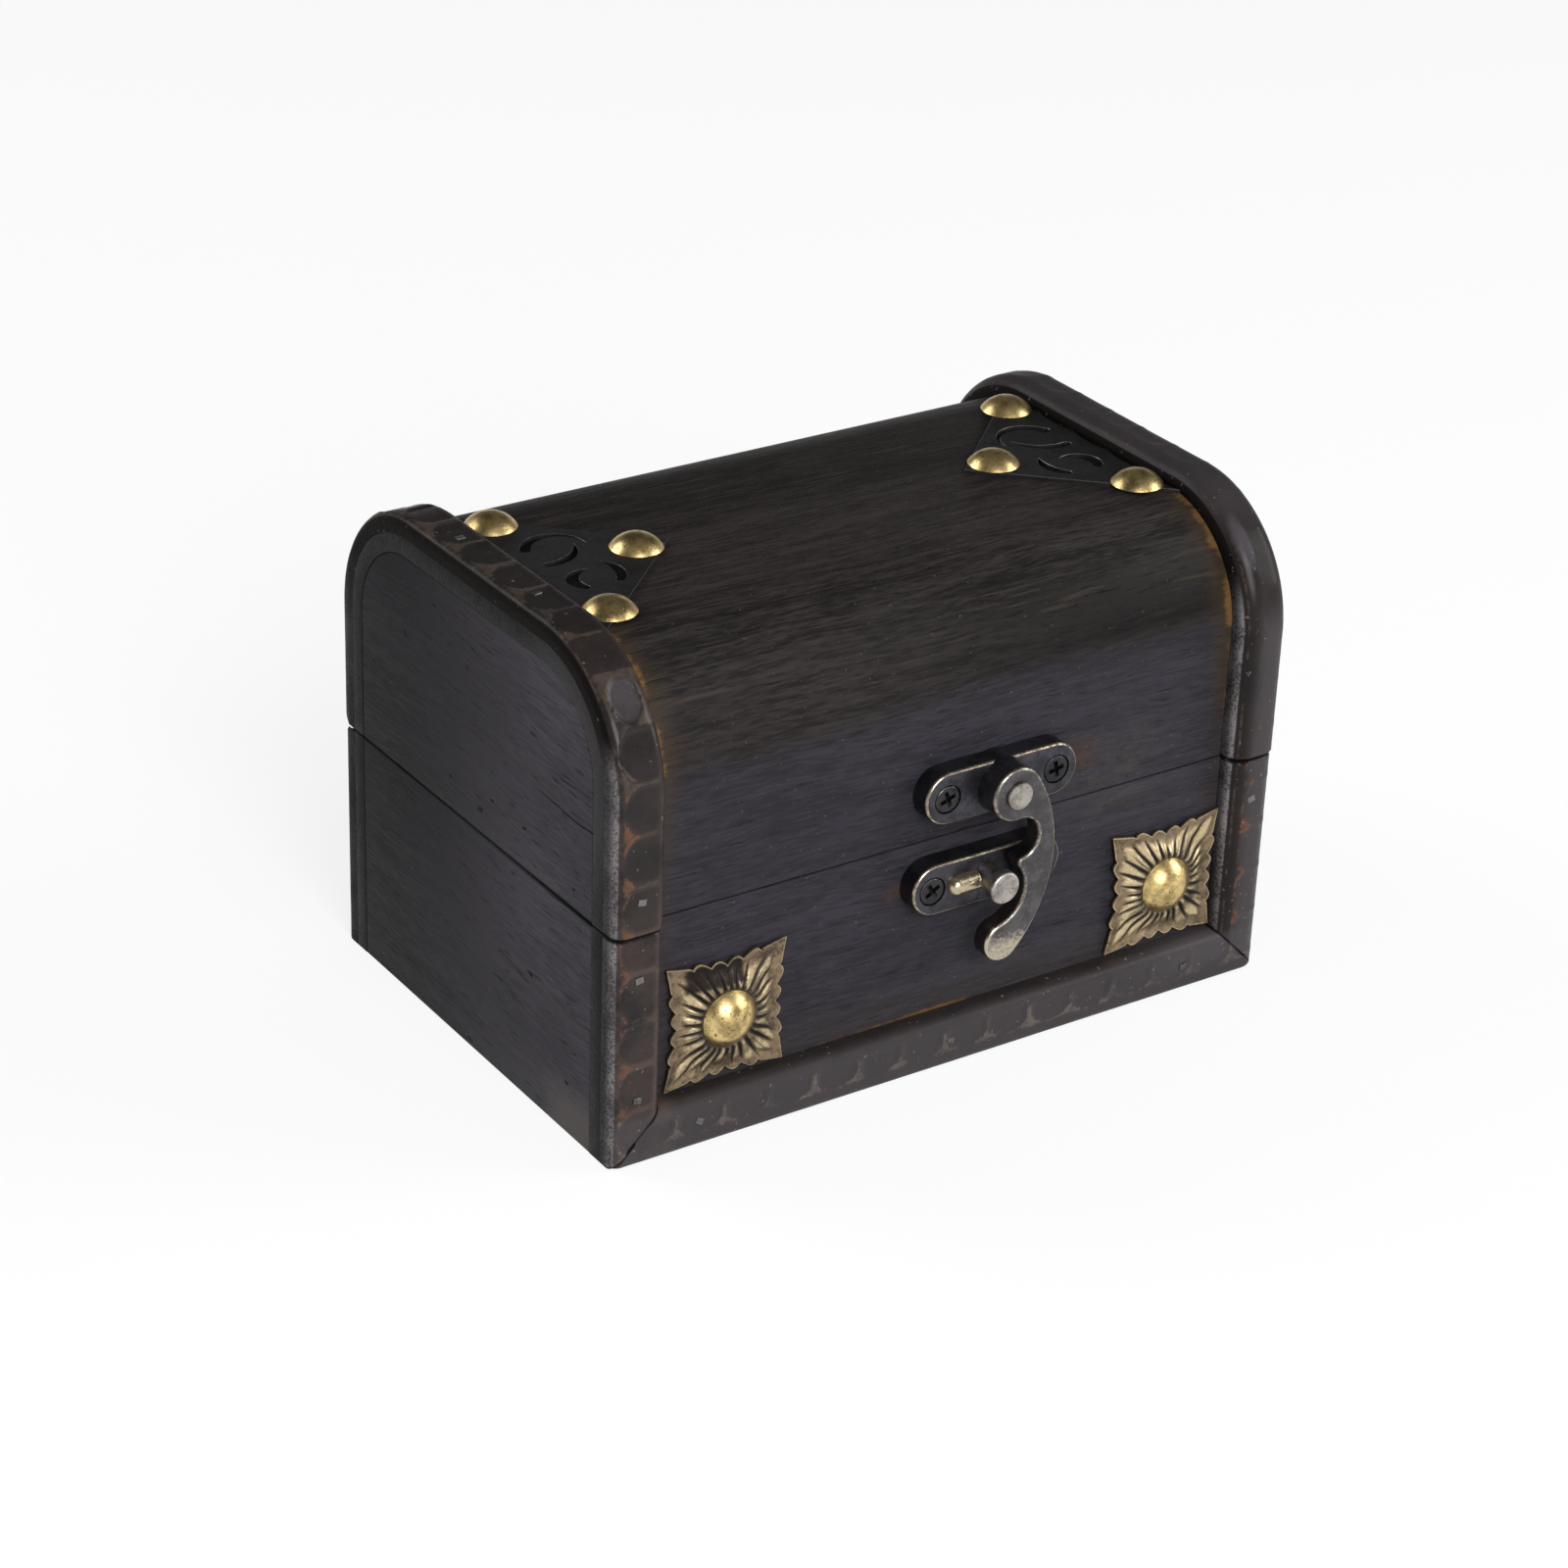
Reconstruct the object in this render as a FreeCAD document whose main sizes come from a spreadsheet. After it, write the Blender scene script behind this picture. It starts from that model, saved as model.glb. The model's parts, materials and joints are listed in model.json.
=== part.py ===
import FreeCAD, Part
import math
import os
import re
from FreeCAD import Placement, Rotation, Vector

# Small wooden chest with a domed lid, dented edge strips, brass ornaments and a swing-hook latch.
# Millimetres. X runs along the front, Y from front to back, Z up; the origin is under the middle of the box.

DRIVING_SIZES = {
    # Chest
    "width": 120.0,
    "depth": 82.0,
    "height": 80.0,
    "seam_height": 38.0,
    "seam_gap": 0.3,
    "shoulder_radius": 21.4,
    "skin_thickness": 3.0,
    "end_thickness": 6.0,
    "bottom_thickness": 4.0,
    "glue_gap": 0.05,
    "cut_overrun": 2.0,
    # Edge strips with rounded corners
    "lid_trim_width": 8.4,
    "lid_trim_thickness": 4.0,
    "lid_trim_top_thickness": 3.1,
    "box_trim_width": 8.3,
    "box_trim_thickness": 3.7,
    "trim_round": 1.5,
    "brad_radius": 0.5,
    "brad_length": 5.6,
    "corner_brad_low": 11.0,
    "corner_brad_high": 31.0,
    "base_brad_inset": 15.0,
    "lid_brad_rise": 5.5,
    "lid_brad_spread": 22.0,
    "fastener_clearance": 0.03,
    # Domed tacks
    "tack_radius": 4.5,
    "tack_rise": 2.6,
    "crown_tack_radius": 4.1,
    "crown_tack_rise": 2.2,
    "tack_shank_radius": 0.7,
    "tack_shank_length": 3.0,
    # Rosettes
    "rosette_span": 20.6,
    "rosette_web": 0.5,
    "rosette_dome_rise": 1.7,
    "rosette_seat_depth": 0.25,
    "rosette_side_sag": 1.5,
    "rosette_scallop_rise": 1.0,
    "rosette_margin": 1.1,
    "rosette_foot_gap": 0.6,
    "rosette_shift": 0.9,
    # Scroll plates on the crown
    "scroll_plate_thickness": 0.6,
    "scroll_plate_half_length": 22.6,
    "scroll_plate_depth": 24.4,
    "scroll_plate_margin": 0.3,
    "scroll_scallop_rise": 0.7,
    "scroll_tack_spread": 34.0,
    "scroll_tack_inset": 4.0,
    "scroll_tack_reach": 18.9,
    # Latch on the lid
    "latch_offset": 6.8,
    "latch_rise": 8.3,
    "latch_plate_length": 27.6,
    "latch_plate_height": 8.6,
    "latch_plate_thickness": 3.5,
    "latch_plate_edge_round": 0.5,
    "latch_boss_radius": 4.5,
    "latch_boss_rise": 1.0,
    "latch_screw_spread": 19.8,
    "rivet_radius": 1.3,
    "rivet_head_radius": 2.2,
    "rivet_head_rise": 0.5,
    "running_clearance": 0.05,
    "hook_gap": 0.1,
    "hook_thickness": 3.0,
    "hook_drop": 24.5,
    "hook_eye_radius": 4.4,
    "hook_knob_radius": 3.2,
    "hook_knob_shift": 1.2,
    "hook_back_radius": 23.5,
    "hook_cavity_radius": 3.3,
    "hook_cavity_shift": 1.0,
    "hook_notch_radius": 5.6,
    "hook_notch_shift": 3.3,
    "hook_cusp_round": 0.65,
    "hook_edge_round": 0.6,
    # Catch on the box
    "catch_offset": 5.0,
    "catch_drop": 6.6,
    "catch_plate_length": 27.0,
    "catch_plate_height": 8.4,
    "catch_screw_spread": 20.0,
    "stud_spigot_radius": 1.2,
    "stud_neck_radius": 2.1,
    "stud_head_radius": 2.6,
    "stud_head_thickness": 1.8,
    "stud_reach": 4.8,
    "stud_edge_round": 0.5,
    "lug_radius": 1.6,
    "lug_length": 3.6,
    # Latch screws
    "screw_head_radius": 2.1,
    "screw_head_height": 0.9,
    "screw_recess_gap": 0.25,
    "screw_shank_radius": 0.9,
    "screw_length": 5.0,
    # Hinges on the back
    "hinge_spread": 60.0,
    "hinge_width": 16.0,
    "hinge_leaf_height": 9.0,
    "hinge_leaf_thickness": 0.8,
    "hinge_stand_off": 0.1,
    "knuckle_radius": 1.5,
    "knuckle_gap": 0.2,
    "hinge_pin_radius": 0.8,
    "hinge_pin_head_radius": 1.2,
    "hinge_pin_head_rise": 0.4,
    "hinge_screw_spread": 9.0,
    "hinge_screw_rise": 6.0,
    "hinge_screw_head_radius": 1.4,
    "hinge_screw_head_rise": 0.5,
    "hinge_screw_shank_radius": 0.7,
    "hinge_screw_length": 3.0,
    "relief_angle": 52.0,
}

WORKED_SIZES = {
    "half_width": "width / 2",
    "shell_half_depth": "depth / 2 - lid_trim_thickness",
    "shell_top": "height - lid_trim_top_thickness",
    "shell_radius": "shoulder_radius - lid_trim_thickness",
    "lid_base": "seam_height + seam_gap",
    "shell_rise": "shell_top - lid_base",
    "inner_half_depth": "shell_half_depth - skin_thickness",
    "latch_height": "seam_height + latch_rise",
    "catch_height": "seam_height - catch_drop",
    "latch_face": "shell_half_depth + latch_plate_thickness",
    "hook_back": "latch_face + latch_boss_rise + hook_gap",
    "hook_front": "hook_back + hook_thickness",
    "rosette_reach": "half_width - box_trim_width - rosette_span / 2 - rosette_margin",
    "rosette_height": "box_trim_width + rosette_foot_gap + rosette_span / 2",
    "scroll_edge": "half_width - lid_trim_width - scroll_plate_margin",
    "scroll_top": "shell_top + scroll_plate_thickness",
    "rosette_seat": "rosette_web + rosette_dome_rise - rosette_seat_depth",
    "tack_sphere": "(tack_radius ^ 2 + tack_rise ^ 2) / (2 * tack_rise)",
    "crown_tack_sphere": "(crown_tack_radius ^ 2 + crown_tack_rise ^ 2) / (2 * crown_tack_rise)",
    "hinge_axis_depth": "shell_half_depth + knuckle_radius + hinge_stand_off",
    "hinge_axis_height": "seam_height + seam_gap / 2",
    "knuckle_length": "(hinge_width - 2 * knuckle_gap) / 3",
    "axis_stand_off": "knuckle_radius + hinge_stand_off",
}

# Commas pierced in a scroll plate, two round a large curl and two round a small one.
# Each point is a share of the plate's depth (inward) and of its half length (sideways).
SCROLL_COMMA_SHARES = {
    "large_upper": {
        "tail": (0.541, 0.226), "back": (0.369, 0.460), "head": (0.148, 0.341),
        "lip": (0.143, 0.270), "chin": (0.193, 0.279), "belly": (0.357, 0.403),
    },
    "large_lower": {
        "tail": (0.467, 0.244), "back": (0.373, 0.048), "head": (0.180, 0.000),
        "lip": (0.143, 0.031), "chin": (0.176, 0.062), "belly": (0.357, 0.106),
    },
    "small_inner": {
        "tail": (0.473, -0.083), "back": (0.541, -0.257), "head": (0.450, -0.409),
        "lip": (0.423, -0.384), "chin": (0.441, -0.348), "belly": (0.478, -0.241),
    },
    "small_outer": {
        "tail": (0.358, -0.154), "back": (0.165, -0.205), "head": (0.198, -0.409),
        "lip": (0.228, -0.399), "chin": (0.230, -0.358), "belly": (0.234, -0.251),
    },
}
SCROLL_SCALLOPS = 5
ROSETTE_SCALLOPS = 4
ROSETTE_POINT_SHARE = 0.38

FRONT = Rotation(Vector(1, 0, 0), 90)
BACK = Rotation(Vector(1, 0, 0), -90)
UP = Rotation()
ALONG_X = Rotation(Vector(0, 1, 0), 90)
HALF_TURN = Rotation(Vector(0, 0, 1), 180)
SIDES = {"left": "-", "right": ""}

doc = FreeCAD.newDocument("chest")
nodes = {}


def fill_sheet(name, cells):
    sheet = doc.addObject("Spreadsheet::Sheet", name)
    for row, (alias, content) in enumerate(cells.items(), start=1):
        sheet.set(f"A{row}", alias)
        sheet.set(f"B{row}", content)
        sheet.setAlias(f"B{row}", alias)
    return sheet


def bound(formula):
    def full_name(match):
        word = match.group(0)
        if word in DRIVING_SIZES:
            return f"Sizes.{word}"
        if word in WORKED_SIZES:
            return f"Worked.{word}"
        return word
    return re.sub(r"[a-z][a-z_]+", full_name, formula)


sizes = fill_sheet("Sizes", {alias: str(value) for alias, value in DRIVING_SIZES.items()})
doc.recompute()
worked = fill_sheet("Worked", {alias: "=" + bound(formula) for alias, formula in WORKED_SIZES.items()})
doc.recompute()


def size(alias):
    sheet = sizes if alias in DRIVING_SIZES else worked
    return float(sheet.get(alias))


def put(piece, spot, turn=UP):
    piece.Placement = Placement(Vector(), turn)
    for axis, formula in zip("xyz", spot):
        piece.setExpression(f"Placement.Base.{axis}", bound(formula))
    return piece


def primitive(kind, name, formulas, spot, turn=UP):
    piece = doc.addObject(kind, name)
    for prop, formula in formulas.items():
        piece.setExpression(prop, bound(formula))
    return put(piece, spot, turn)


def block(name, length, width, height, spot, turn=UP):
    return primitive("Part::Box", name, {"Length": length, "Width": width, "Height": height}, spot, turn)


def rod(name, radius, length, spot, turn=UP):
    return primitive("Part::Cylinder", name, {"Radius": radius, "Height": length}, spot, turn)


def cut(name, base, tools):
    piece = doc.addObject("Part::Cut", name)
    piece.Base = base
    piece.Tool = tools[0] if len(tools) == 1 else group(name + "_tools", tools)
    return piece


def common(name, base, tool):
    piece = doc.addObject("Part::Common", name)
    piece.Base = base
    piece.Tool = tool
    return piece


def fuse(name, pieces):
    piece = doc.addObject("Part::MultiFuse", name)
    piece.Shapes = pieces
    return piece


def group(name, pieces):
    piece = doc.addObject("Part::Compound", name)
    piece.Links = pieces
    return piece


def node(label, piece):
    piece.Label = label
    nodes[label] = piece
    return piece


def inward(normal, spot, depth):
    x, y, z = spot
    if normal is FRONT:
        return x, f"{y} + ({depth})", z
    if normal is BACK:
        return x, f"{y} - ({depth})", z
    return x, y, f"{z} - ({depth})"


def shank_hole(name, normal, spot, radius, length):
    start = inward(normal, spot, length)
    return rod(name, f"{radius} + fastener_clearance", length, start, normal)


def sketch_on(body, role, curves):
    sketch = body.newObject("Sketcher::SketchObject", body.Name + "_sketch")
    plane = next(feature for feature in body.Origin.OriginFeatures if feature.Role == role)
    sketch.AttachmentSupport = (plane, [""])
    sketch.MapMode = "FlatFace"
    for curve in curves:
        sketch.addGeometry(curve, False)
    return sketch


def pad(body, role, curves, length):
    feature = body.newObject("PartDesign::Pad", body.Name + "_pad")
    feature.Profile = sketch_on(body, role, curves)
    feature.setExpression("Length", bound(length))
    return feature


def pocket_through(body, role, curves):
    feature = body.newObject("PartDesign::Pocket", body.Name + "_pocket")
    feature.Profile = sketch_on(body, role, curves)
    feature.Type = "ThroughAll"
    feature.Midplane = True
    return feature


def fillet(body, base, radius, wanted):
    doc.recompute()
    edges = [f"Edge{i}" for i, edge in enumerate(base.Shape.Edges, start=1) if wanted(edge)]
    feature = body.newObject("PartDesign::Fillet", body.Name + "_fillet")
    feature.Base = (base, edges)
    feature.setExpression("Radius", bound(radius))
    return feature


def new_body(name):
    return doc.addObject("PartDesign::Body", name + "_body")


def flat(x, y):
    return Vector(x, y, 0)


def polygon(points):
    return [Part.LineSegment(a, b) for a, b in zip(points, points[1:] + points[:1])]


def arc_through(start, middle, end):
    return Part.ArcOfCircle(start, middle, end)


def on_circle(centre, radius, degrees):
    angle = math.radians(degrees)
    return centre + flat(radius * math.cos(angle), radius * math.sin(angle))


def arch(half_depth, base, top, radius, reverse=False):
    # Wall, shoulder, crown, shoulder and wall of the lid, as curves in (Y, Z).
    spring = top - radius
    flat_half = half_depth - radius
    front_centre = flat(-flat_half, spring)
    back_centre = flat(flat_half, spring)
    points = [
        flat(-half_depth, base), flat(-half_depth, spring), on_circle(front_centre, radius, 135),
        flat(-flat_half, top), flat(flat_half, top), on_circle(back_centre, radius, 45),
        flat(half_depth, spring), flat(half_depth, base),
    ]
    if reverse:
        points = points[::-1]
    return [
        Part.LineSegment(points[0], points[1]),
        arc_through(points[1], points[2], points[3]),
        Part.LineSegment(points[3], points[4]),
        arc_through(points[4], points[5], points[6]),
        Part.LineSegment(points[6], points[7]),
    ]


def arch_band(outer_half, outer_top, outer_radius, inner_half, inner_top, inner_radius):
    # Closed outline between two arches that stand on the same base line.
    return arch(outer_half, 0, outer_top, outer_radius) + [
        Part.LineSegment(flat(outer_half, 0), flat(inner_half, 0)),
    ] + arch(inner_half, 0, inner_top, inner_radius, reverse=True) + [
        Part.LineSegment(flat(-inner_half, 0), flat(-outer_half, 0)),
    ]


def strip_section(width, thickness, radius, swap=False):
    # Section of an edge strip: flat back on the axis, rounded outer corners at -thickness.
    points = [
        flat(0, 0), flat(0, -(thickness - radius)), on_circle(flat(radius, radius - thickness), radius, 225),
        flat(radius, -thickness), flat(width - radius, -thickness),
        on_circle(flat(width - radius, radius - thickness), radius, 315),
        flat(width, -(thickness - radius)), flat(width, 0),
    ]
    if swap:
        points = [flat(point.y, point.x) for point in points]
    return [
        Part.LineSegment(points[0], points[1]),
        arc_through(points[1], points[2], points[3]),
        Part.LineSegment(points[3], points[4]),
        arc_through(points[4], points[5], points[6]),
        Part.LineSegment(points[6], points[7]),
        Part.LineSegment(points[7], points[0]),
    ]


def stadium(length, height):
    radius = height / 2
    straight = length / 2 - radius
    left = flat(-straight, 0)
    right = flat(straight, 0)
    return [
        Part.LineSegment(flat(-straight, radius), flat(straight, radius)),
        arc_through(flat(straight, radius), on_circle(right, radius, 0), flat(straight, -radius)),
        Part.LineSegment(flat(straight, -radius), flat(-straight, -radius)),
        arc_through(flat(-straight, -radius), on_circle(left, radius, 180), flat(-straight, radius)),
    ]


def relief_outline(axis_y, axis_z, outer_y, away):
    # Wedge cut from the seam end of a back strip, outside the hinge axis, so that the lid can fall back.
    over = size("cut_overrun")
    reach = outer_y + math.copysign(over, outer_y)
    fall = abs(reach - axis_y) * math.tan(math.radians(size("relief_angle")))
    return polygon([flat(axis_y, axis_z), flat(reach, axis_z + away * fall), flat(reach, axis_z - away * over)])


# Brads: places, then the brads and the holes that they stand in.

def brad_spots():
    box_face = "(shell_half_depth + box_trim_thickness)"
    lid_face = "depth / 2"
    corner_x = "(half_width - box_trim_width / 2)"
    lid_x = "(half_width - lid_trim_width / 2)"
    box_spots = []
    lid_spots = []
    for normal, sign in ((FRONT, "-"), (BACK, "")):
        for side in SIDES.values():
            for height in ("corner_brad_low", "corner_brad_high"):
                box_spots.append((normal, (f"{side}{corner_x}", f"{sign}{box_face}", height)))
            lid_spots.append((normal, (f"{side}{lid_x}", f"{sign}{lid_face}", "lid_base + lid_brad_rise")))
        for place in ("base_brad_inset - half_width", "0", "half_width - base_brad_inset"):
            box_spots.append((normal, (place, f"{sign}{box_face}", "box_trim_width / 2")))
    for side in SIDES.values():
        for place in ("-lid_brad_spread / 2", "lid_brad_spread / 2"):
            lid_spots.append((UP, (f"{side}{lid_x}", place, "height")))
    return {"box": box_spots, "lid": lid_spots}


def make_brads():
    holes = {}
    for owner, spots in brad_spots().items():
        brads = []
        drilled = []
        for index, (normal, spot) in enumerate(spots):
            name = f"{owner}_brad_{index}"
            start = inward(normal, spot, "brad_length")
            brads.append(rod(name, "brad_radius", "brad_length", start, normal))
            drilled.append(shank_hole(name + "_hole", normal, spot, "brad_radius", "brad_length"))
        node(f"{owner}_trim_brads", group(f"{owner}_brads", brads))
        holes[owner] = group(f"{owner}_brad_holes", drilled)
    return holes


# Domed tacks

def make_tack(name, kind, normal, seat):
    centre_depth = f"{kind}_sphere - {kind}_rise"
    dome = primitive("Part::Sphere", name + "_dome", {
        "Radius": f"{kind}_sphere",
        "Angle1": f"asin(({centre_depth}) / {kind}_sphere)",
    }, inward(normal, seat, centre_depth), normal)
    shank = rod(name + "_shank", "tack_shank_radius", "tack_shank_length",
                inward(normal, seat, "tack_shank_length"), normal)
    hole = shank_hole(name + "_hole", normal, seat, "tack_shank_radius", "tack_shank_length")
    return fuse(name, [dome, shank]), hole


# Screws with a low cylindrical head that sits in a recess, seat at the head's top

def make_screw(name, normal, seat):
    head_spot = inward(normal, seat, "screw_head_height")
    shank_depth = "screw_head_height + screw_length"
    head = rod(name + "_head", "screw_head_radius", "screw_head_height", head_spot, normal)
    shank = rod(name + "_shank", "screw_shank_radius", "screw_length", inward(normal, seat, shank_depth), normal)
    recess = rod(name + "_recess", "screw_head_radius + screw_recess_gap", "screw_head_height", head_spot, normal)
    hole = shank_hole(name + "_hole", normal, seat, "screw_shank_radius", shank_depth)
    return fuse(name, [head, shank]), [recess, hole]


# Latch: plate on the lid, catch on the box, rivet and hook

def on_front(edge, thickness):
    # The whole edge lies in the outer half of a piece that is padded towards the front.
    return edge.BoundBox.YMax < -size(thickness) / 2


def make_plate(name, length, height, spot):
    body = new_body(name)
    outline = stadium(size(length), size(height))
    base = pad(body, "XZ_Plane", outline, "latch_plate_thickness")
    fillet(body, base, "latch_plate_edge_round", lambda edge: on_front(edge, "latch_plate_thickness"))
    return put(body, spot)


def make_screw_pair(name, spread, x, z):
    screws = []
    tools = []
    for side, sign in SIDES.items():
        seat = (f"{x} {sign or '+'} {spread} / 2", "-latch_face", z)
        screw, cuts = make_screw(f"{name}_{side}", FRONT, seat)
        screws.append(screw)
        tools.extend(cuts)
    node(name, group(name + "_pair", screws))
    return tools


def make_latch():
    tools = make_screw_pair("latch_screws", "latch_screw_spread", "latch_offset", "latch_height")
    face = ("latch_offset", "-shell_half_depth", "latch_height")
    plate = make_plate("latch_plate", "latch_plate_length", "latch_plate_height", face)
    boss = rod("latch_boss", "latch_boss_radius", "latch_plate_thickness + latch_boss_rise", face, FRONT)
    pivot = ("latch_offset", "-hook_front - hook_gap", "latch_height")
    rivet_length = "hook_front + hook_gap - shell_half_depth"
    rivet_start = inward(FRONT, pivot, rivet_length)
    pin = rod("latch_rivet_pin", "rivet_radius", rivet_length, rivet_start, FRONT)
    head = rod("latch_rivet_head", "rivet_head_radius", "rivet_head_rise", pivot, FRONT)
    rivet_hole = shank_hole("latch_rivet_hole", FRONT, pivot, "rivet_radius", rivet_length)
    node("latch_rivet", fuse("latch_rivet_pieces", [pin, head]))
    node("latch_plate", cut("latch_plate_cut", fuse("latch_plate_cast", [plate, boss]), tools + [rivet_hole]))
    return group("latch_screw_holes", [tool for tool in tools if tool.Name.endswith("_hole")])


def make_stud():
    # Turned post: spigot through the plate, neck, and a wider head with a rounded rim.
    plate = size("latch_plate_thickness")
    reach = plate + size("stud_reach")
    under_head = reach - size("stud_head_thickness")
    head = size("stud_head_radius")
    rim = size("stud_edge_round")
    points = [
        flat(0, 0), flat(size("stud_spigot_radius"), 0), flat(size("stud_spigot_radius"), plate),
        flat(size("stud_neck_radius"), plate), flat(size("stud_neck_radius"), under_head),
        flat(head, under_head), flat(head, reach - rim),
    ]
    profile = [Part.LineSegment(a, b) for a, b in zip(points, points[1:])]
    top = [flat(head - rim, reach), flat(0, reach)]
    profile.append(arc_through(points[-1], on_circle(flat(head - rim, reach - rim), rim, 45), top[0]))
    profile.append(Part.LineSegment(top[0], top[1]))
    profile.append(Part.LineSegment(top[1], points[0]))
    body = new_body("catch_stud")
    turned = body.newObject("PartDesign::Revolution", "catch_stud_turned")
    turned.Profile = sketch_on(body, "XZ_Plane", profile)
    turned.ReferenceAxis = (turned.Profile[0], ["V_Axis"])
    node("catch_stud", put(body, ("catch_offset", "-shell_half_depth", "catch_height"), FRONT))


def make_catch():
    tools = make_screw_pair("catch_screws", "catch_screw_spread", "catch_offset", "catch_height")
    face = ("catch_offset", "-shell_half_depth", "catch_height")
    plate = make_plate("catch_plate", "catch_plate_length", "catch_plate_height", face)
    lug_end = "catch_offset - stud_neck_radius - fastener_clearance"
    lug = rod("catch_lug", "lug_radius", "lug_length",
              (f"{lug_end} - lug_length", "-latch_face", "catch_height"), ALONG_X)
    lug_nose = primitive("Part::Sphere", "catch_lug_nose", {"Radius": "lug_radius"},
                         (f"{lug_end} - lug_length", "-latch_face", "catch_height"))
    spigot_hole = shank_hole("catch_spigot_hole", FRONT, ("catch_offset", "-latch_face", "catch_height"),
                             "stud_spigot_radius", "latch_plate_thickness")
    cast = fuse("catch_plate_cast", [plate, lug, lug_nose])
    node("catch_plate", cut("catch_plate_cut", cast, tools + [spigot_hole]))
    make_stud()
    return group("catch_screw_holes", [tool for tool in tools if tool.Name.endswith("_hole")])


def circles_meet(first, first_radius, second, second_radius, side):
    # Crossing of two circles that lies on the given side (+1 left, -1 right) of the line between their centres.
    span = second - first
    along = (first_radius ** 2 - second_radius ** 2 + span.Length ** 2) / (2 * span.Length)
    across = math.sqrt(first_radius ** 2 - along ** 2)
    ahead = span / span.Length
    return first + ahead * along + flat(-ahead.y, ahead.x) * (side * across)


def towards(start, target, distance):
    step = target - start
    return start + step * (distance / step.Length)


def hook_outline():
    # Six circles, each tangent to the next: eye, cavity, cusp, notch, knob and the long outer back.
    eye = size("hook_eye_radius")
    knob = size("hook_knob_radius")
    back = size("hook_back_radius")
    cavity = size("hook_cavity_radius")
    notch = size("hook_notch_radius")
    eye_at = flat(0, 0)
    knob_at = flat(-size("hook_knob_shift"), -size("hook_drop"))
    back_at = circles_meet(eye_at, back - eye, knob_at, back - knob, -1)
    cavity_x = size("hook_cavity_shift")
    cavity_at = flat(cavity_x, -math.sqrt((cavity + eye) ** 2 - cavity_x ** 2))
    notch_x = -size("hook_notch_shift")
    notch_at = flat(notch_x, knob_at.y + math.sqrt((notch + knob) ** 2 - (notch_x - knob_at.x) ** 2))
    clear = (notch_at - cavity_at).Length - cavity - notch
    cusp = size("hook_cusp_round") + max(clear, 0) / 2
    cusp_at = circles_meet(cavity_at, cavity + cusp, notch_at, notch + cusp, 1)
    cusp_top = towards(cusp_at, cavity_at, cusp)
    cusp_foot = towards(cusp_at, notch_at, cusp)
    cusp_tip = towards(cusp_at, (cusp_top + cusp_foot) / 2, cusp)
    eye_end = towards(eye_at, cavity_at, eye)
    eye_start = towards(back_at, eye_at, back)
    knob_start = towards(knob_at, notch_at, knob)
    knob_end = towards(back_at, knob_at, back)
    return [
        arc_through(eye_start, on_circle(eye_at, eye, 180), eye_end),
        arc_through(eye_end, on_circle(cavity_at, cavity, 0), cusp_top),
        arc_through(cusp_top, cusp_tip, cusp_foot),
        arc_through(cusp_foot, on_circle(notch_at, notch, 0), knob_start),
        arc_through(knob_start, on_circle(knob_at, knob, 220), knob_end),
        arc_through(knob_end, on_circle(back_at, back, 0), eye_start),
    ]


def make_hook():
    body = new_body("swing_hook")
    bore = Part.Circle(flat(0, 0), Vector(0, 0, 1), size("rivet_radius") + size("running_clearance"))
    base = pad(body, "XZ_Plane", hook_outline() + [bore], "hook_thickness")

    def front_rim(edge):
        return on_front(edge, "hook_thickness") and not edge.isClosed()

    fillet(body, base, "hook_edge_round", front_rim)
    node("swing_hook", put(body, ("latch_offset", "-hook_back", "latch_height")))


# Ornaments

def rosette_outline():
    half = size("rosette_span") / 2
    sag = size("rosette_side_sag")
    rise = size("rosette_scallop_rise")
    point = half * (1 - ROSETTE_POINT_SHARE)
    curves = []
    for quarter in range(4):
        turn = Rotation(Vector(0, 0, 1), 90 * quarter)
        corner = flat(-half, half)
        stops = [-point + 2 * point * step / ROSETTE_SCALLOPS for step in range(ROSETTE_SCALLOPS + 1)]
        chain = [flat(x, half - sag) for x in stops]
        curves.append(Part.LineSegment(turn.multVec(corner), turn.multVec(chain[0])))
        for start, end in zip(chain, chain[1:]):
            crest = (start + end) / 2 + flat(0, rise)
            curves.append(arc_through(turn.multVec(start), turn.multVec(crest), turn.multVec(end)))
        curves.append(Part.LineSegment(turn.multVec(chain[-1]), turn.multVec(flat(half, half))))
    return curves


def make_rosettes():
    holes = []
    for side, sign in SIDES.items():
        spot = (f"{sign}rosette_reach + rosette_shift", "-shell_half_depth", "rosette_height")
        body = new_body(f"{side}_rosette")
        pad(body, "XZ_Plane", rosette_outline(), "rosette_web + rosette_dome_rise")
        put(body, spot)
        # The cap of a large ball shapes the front: thick under the tack, thin at the corners.
        corner_reach = "(rosette_span ^ 2 / 2)"
        ball_radius = f"({corner_reach} + rosette_dome_rise ^ 2) / (2 * rosette_dome_rise)"
        centre = (spot[0], f"{spot[1]} - rosette_web - rosette_dome_rise + {ball_radius}", spot[2])
        ball = primitive("Part::Sphere", f"{side}_rosette_ball", {"Radius": ball_radius}, centre)
        domed = common(f"{side}_rosette_domed", body, ball)
        seat = (spot[0], f"{spot[1]} - rosette_seat", spot[2])
        pocket = rod(f"{side}_rosette_seat", "tack_radius + fastener_clearance", "tack_rise", seat, FRONT)
        tack, hole = make_tack(f"{side}_rosette_tack", "tack", FRONT, seat)
        node(f"{side}_rosette", cut(f"{side}_rosette_cut", domed, [pocket, hole]))
        node(f"{side}_rosette_tack", tack)
        holes.append(hole)
    return holes


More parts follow.
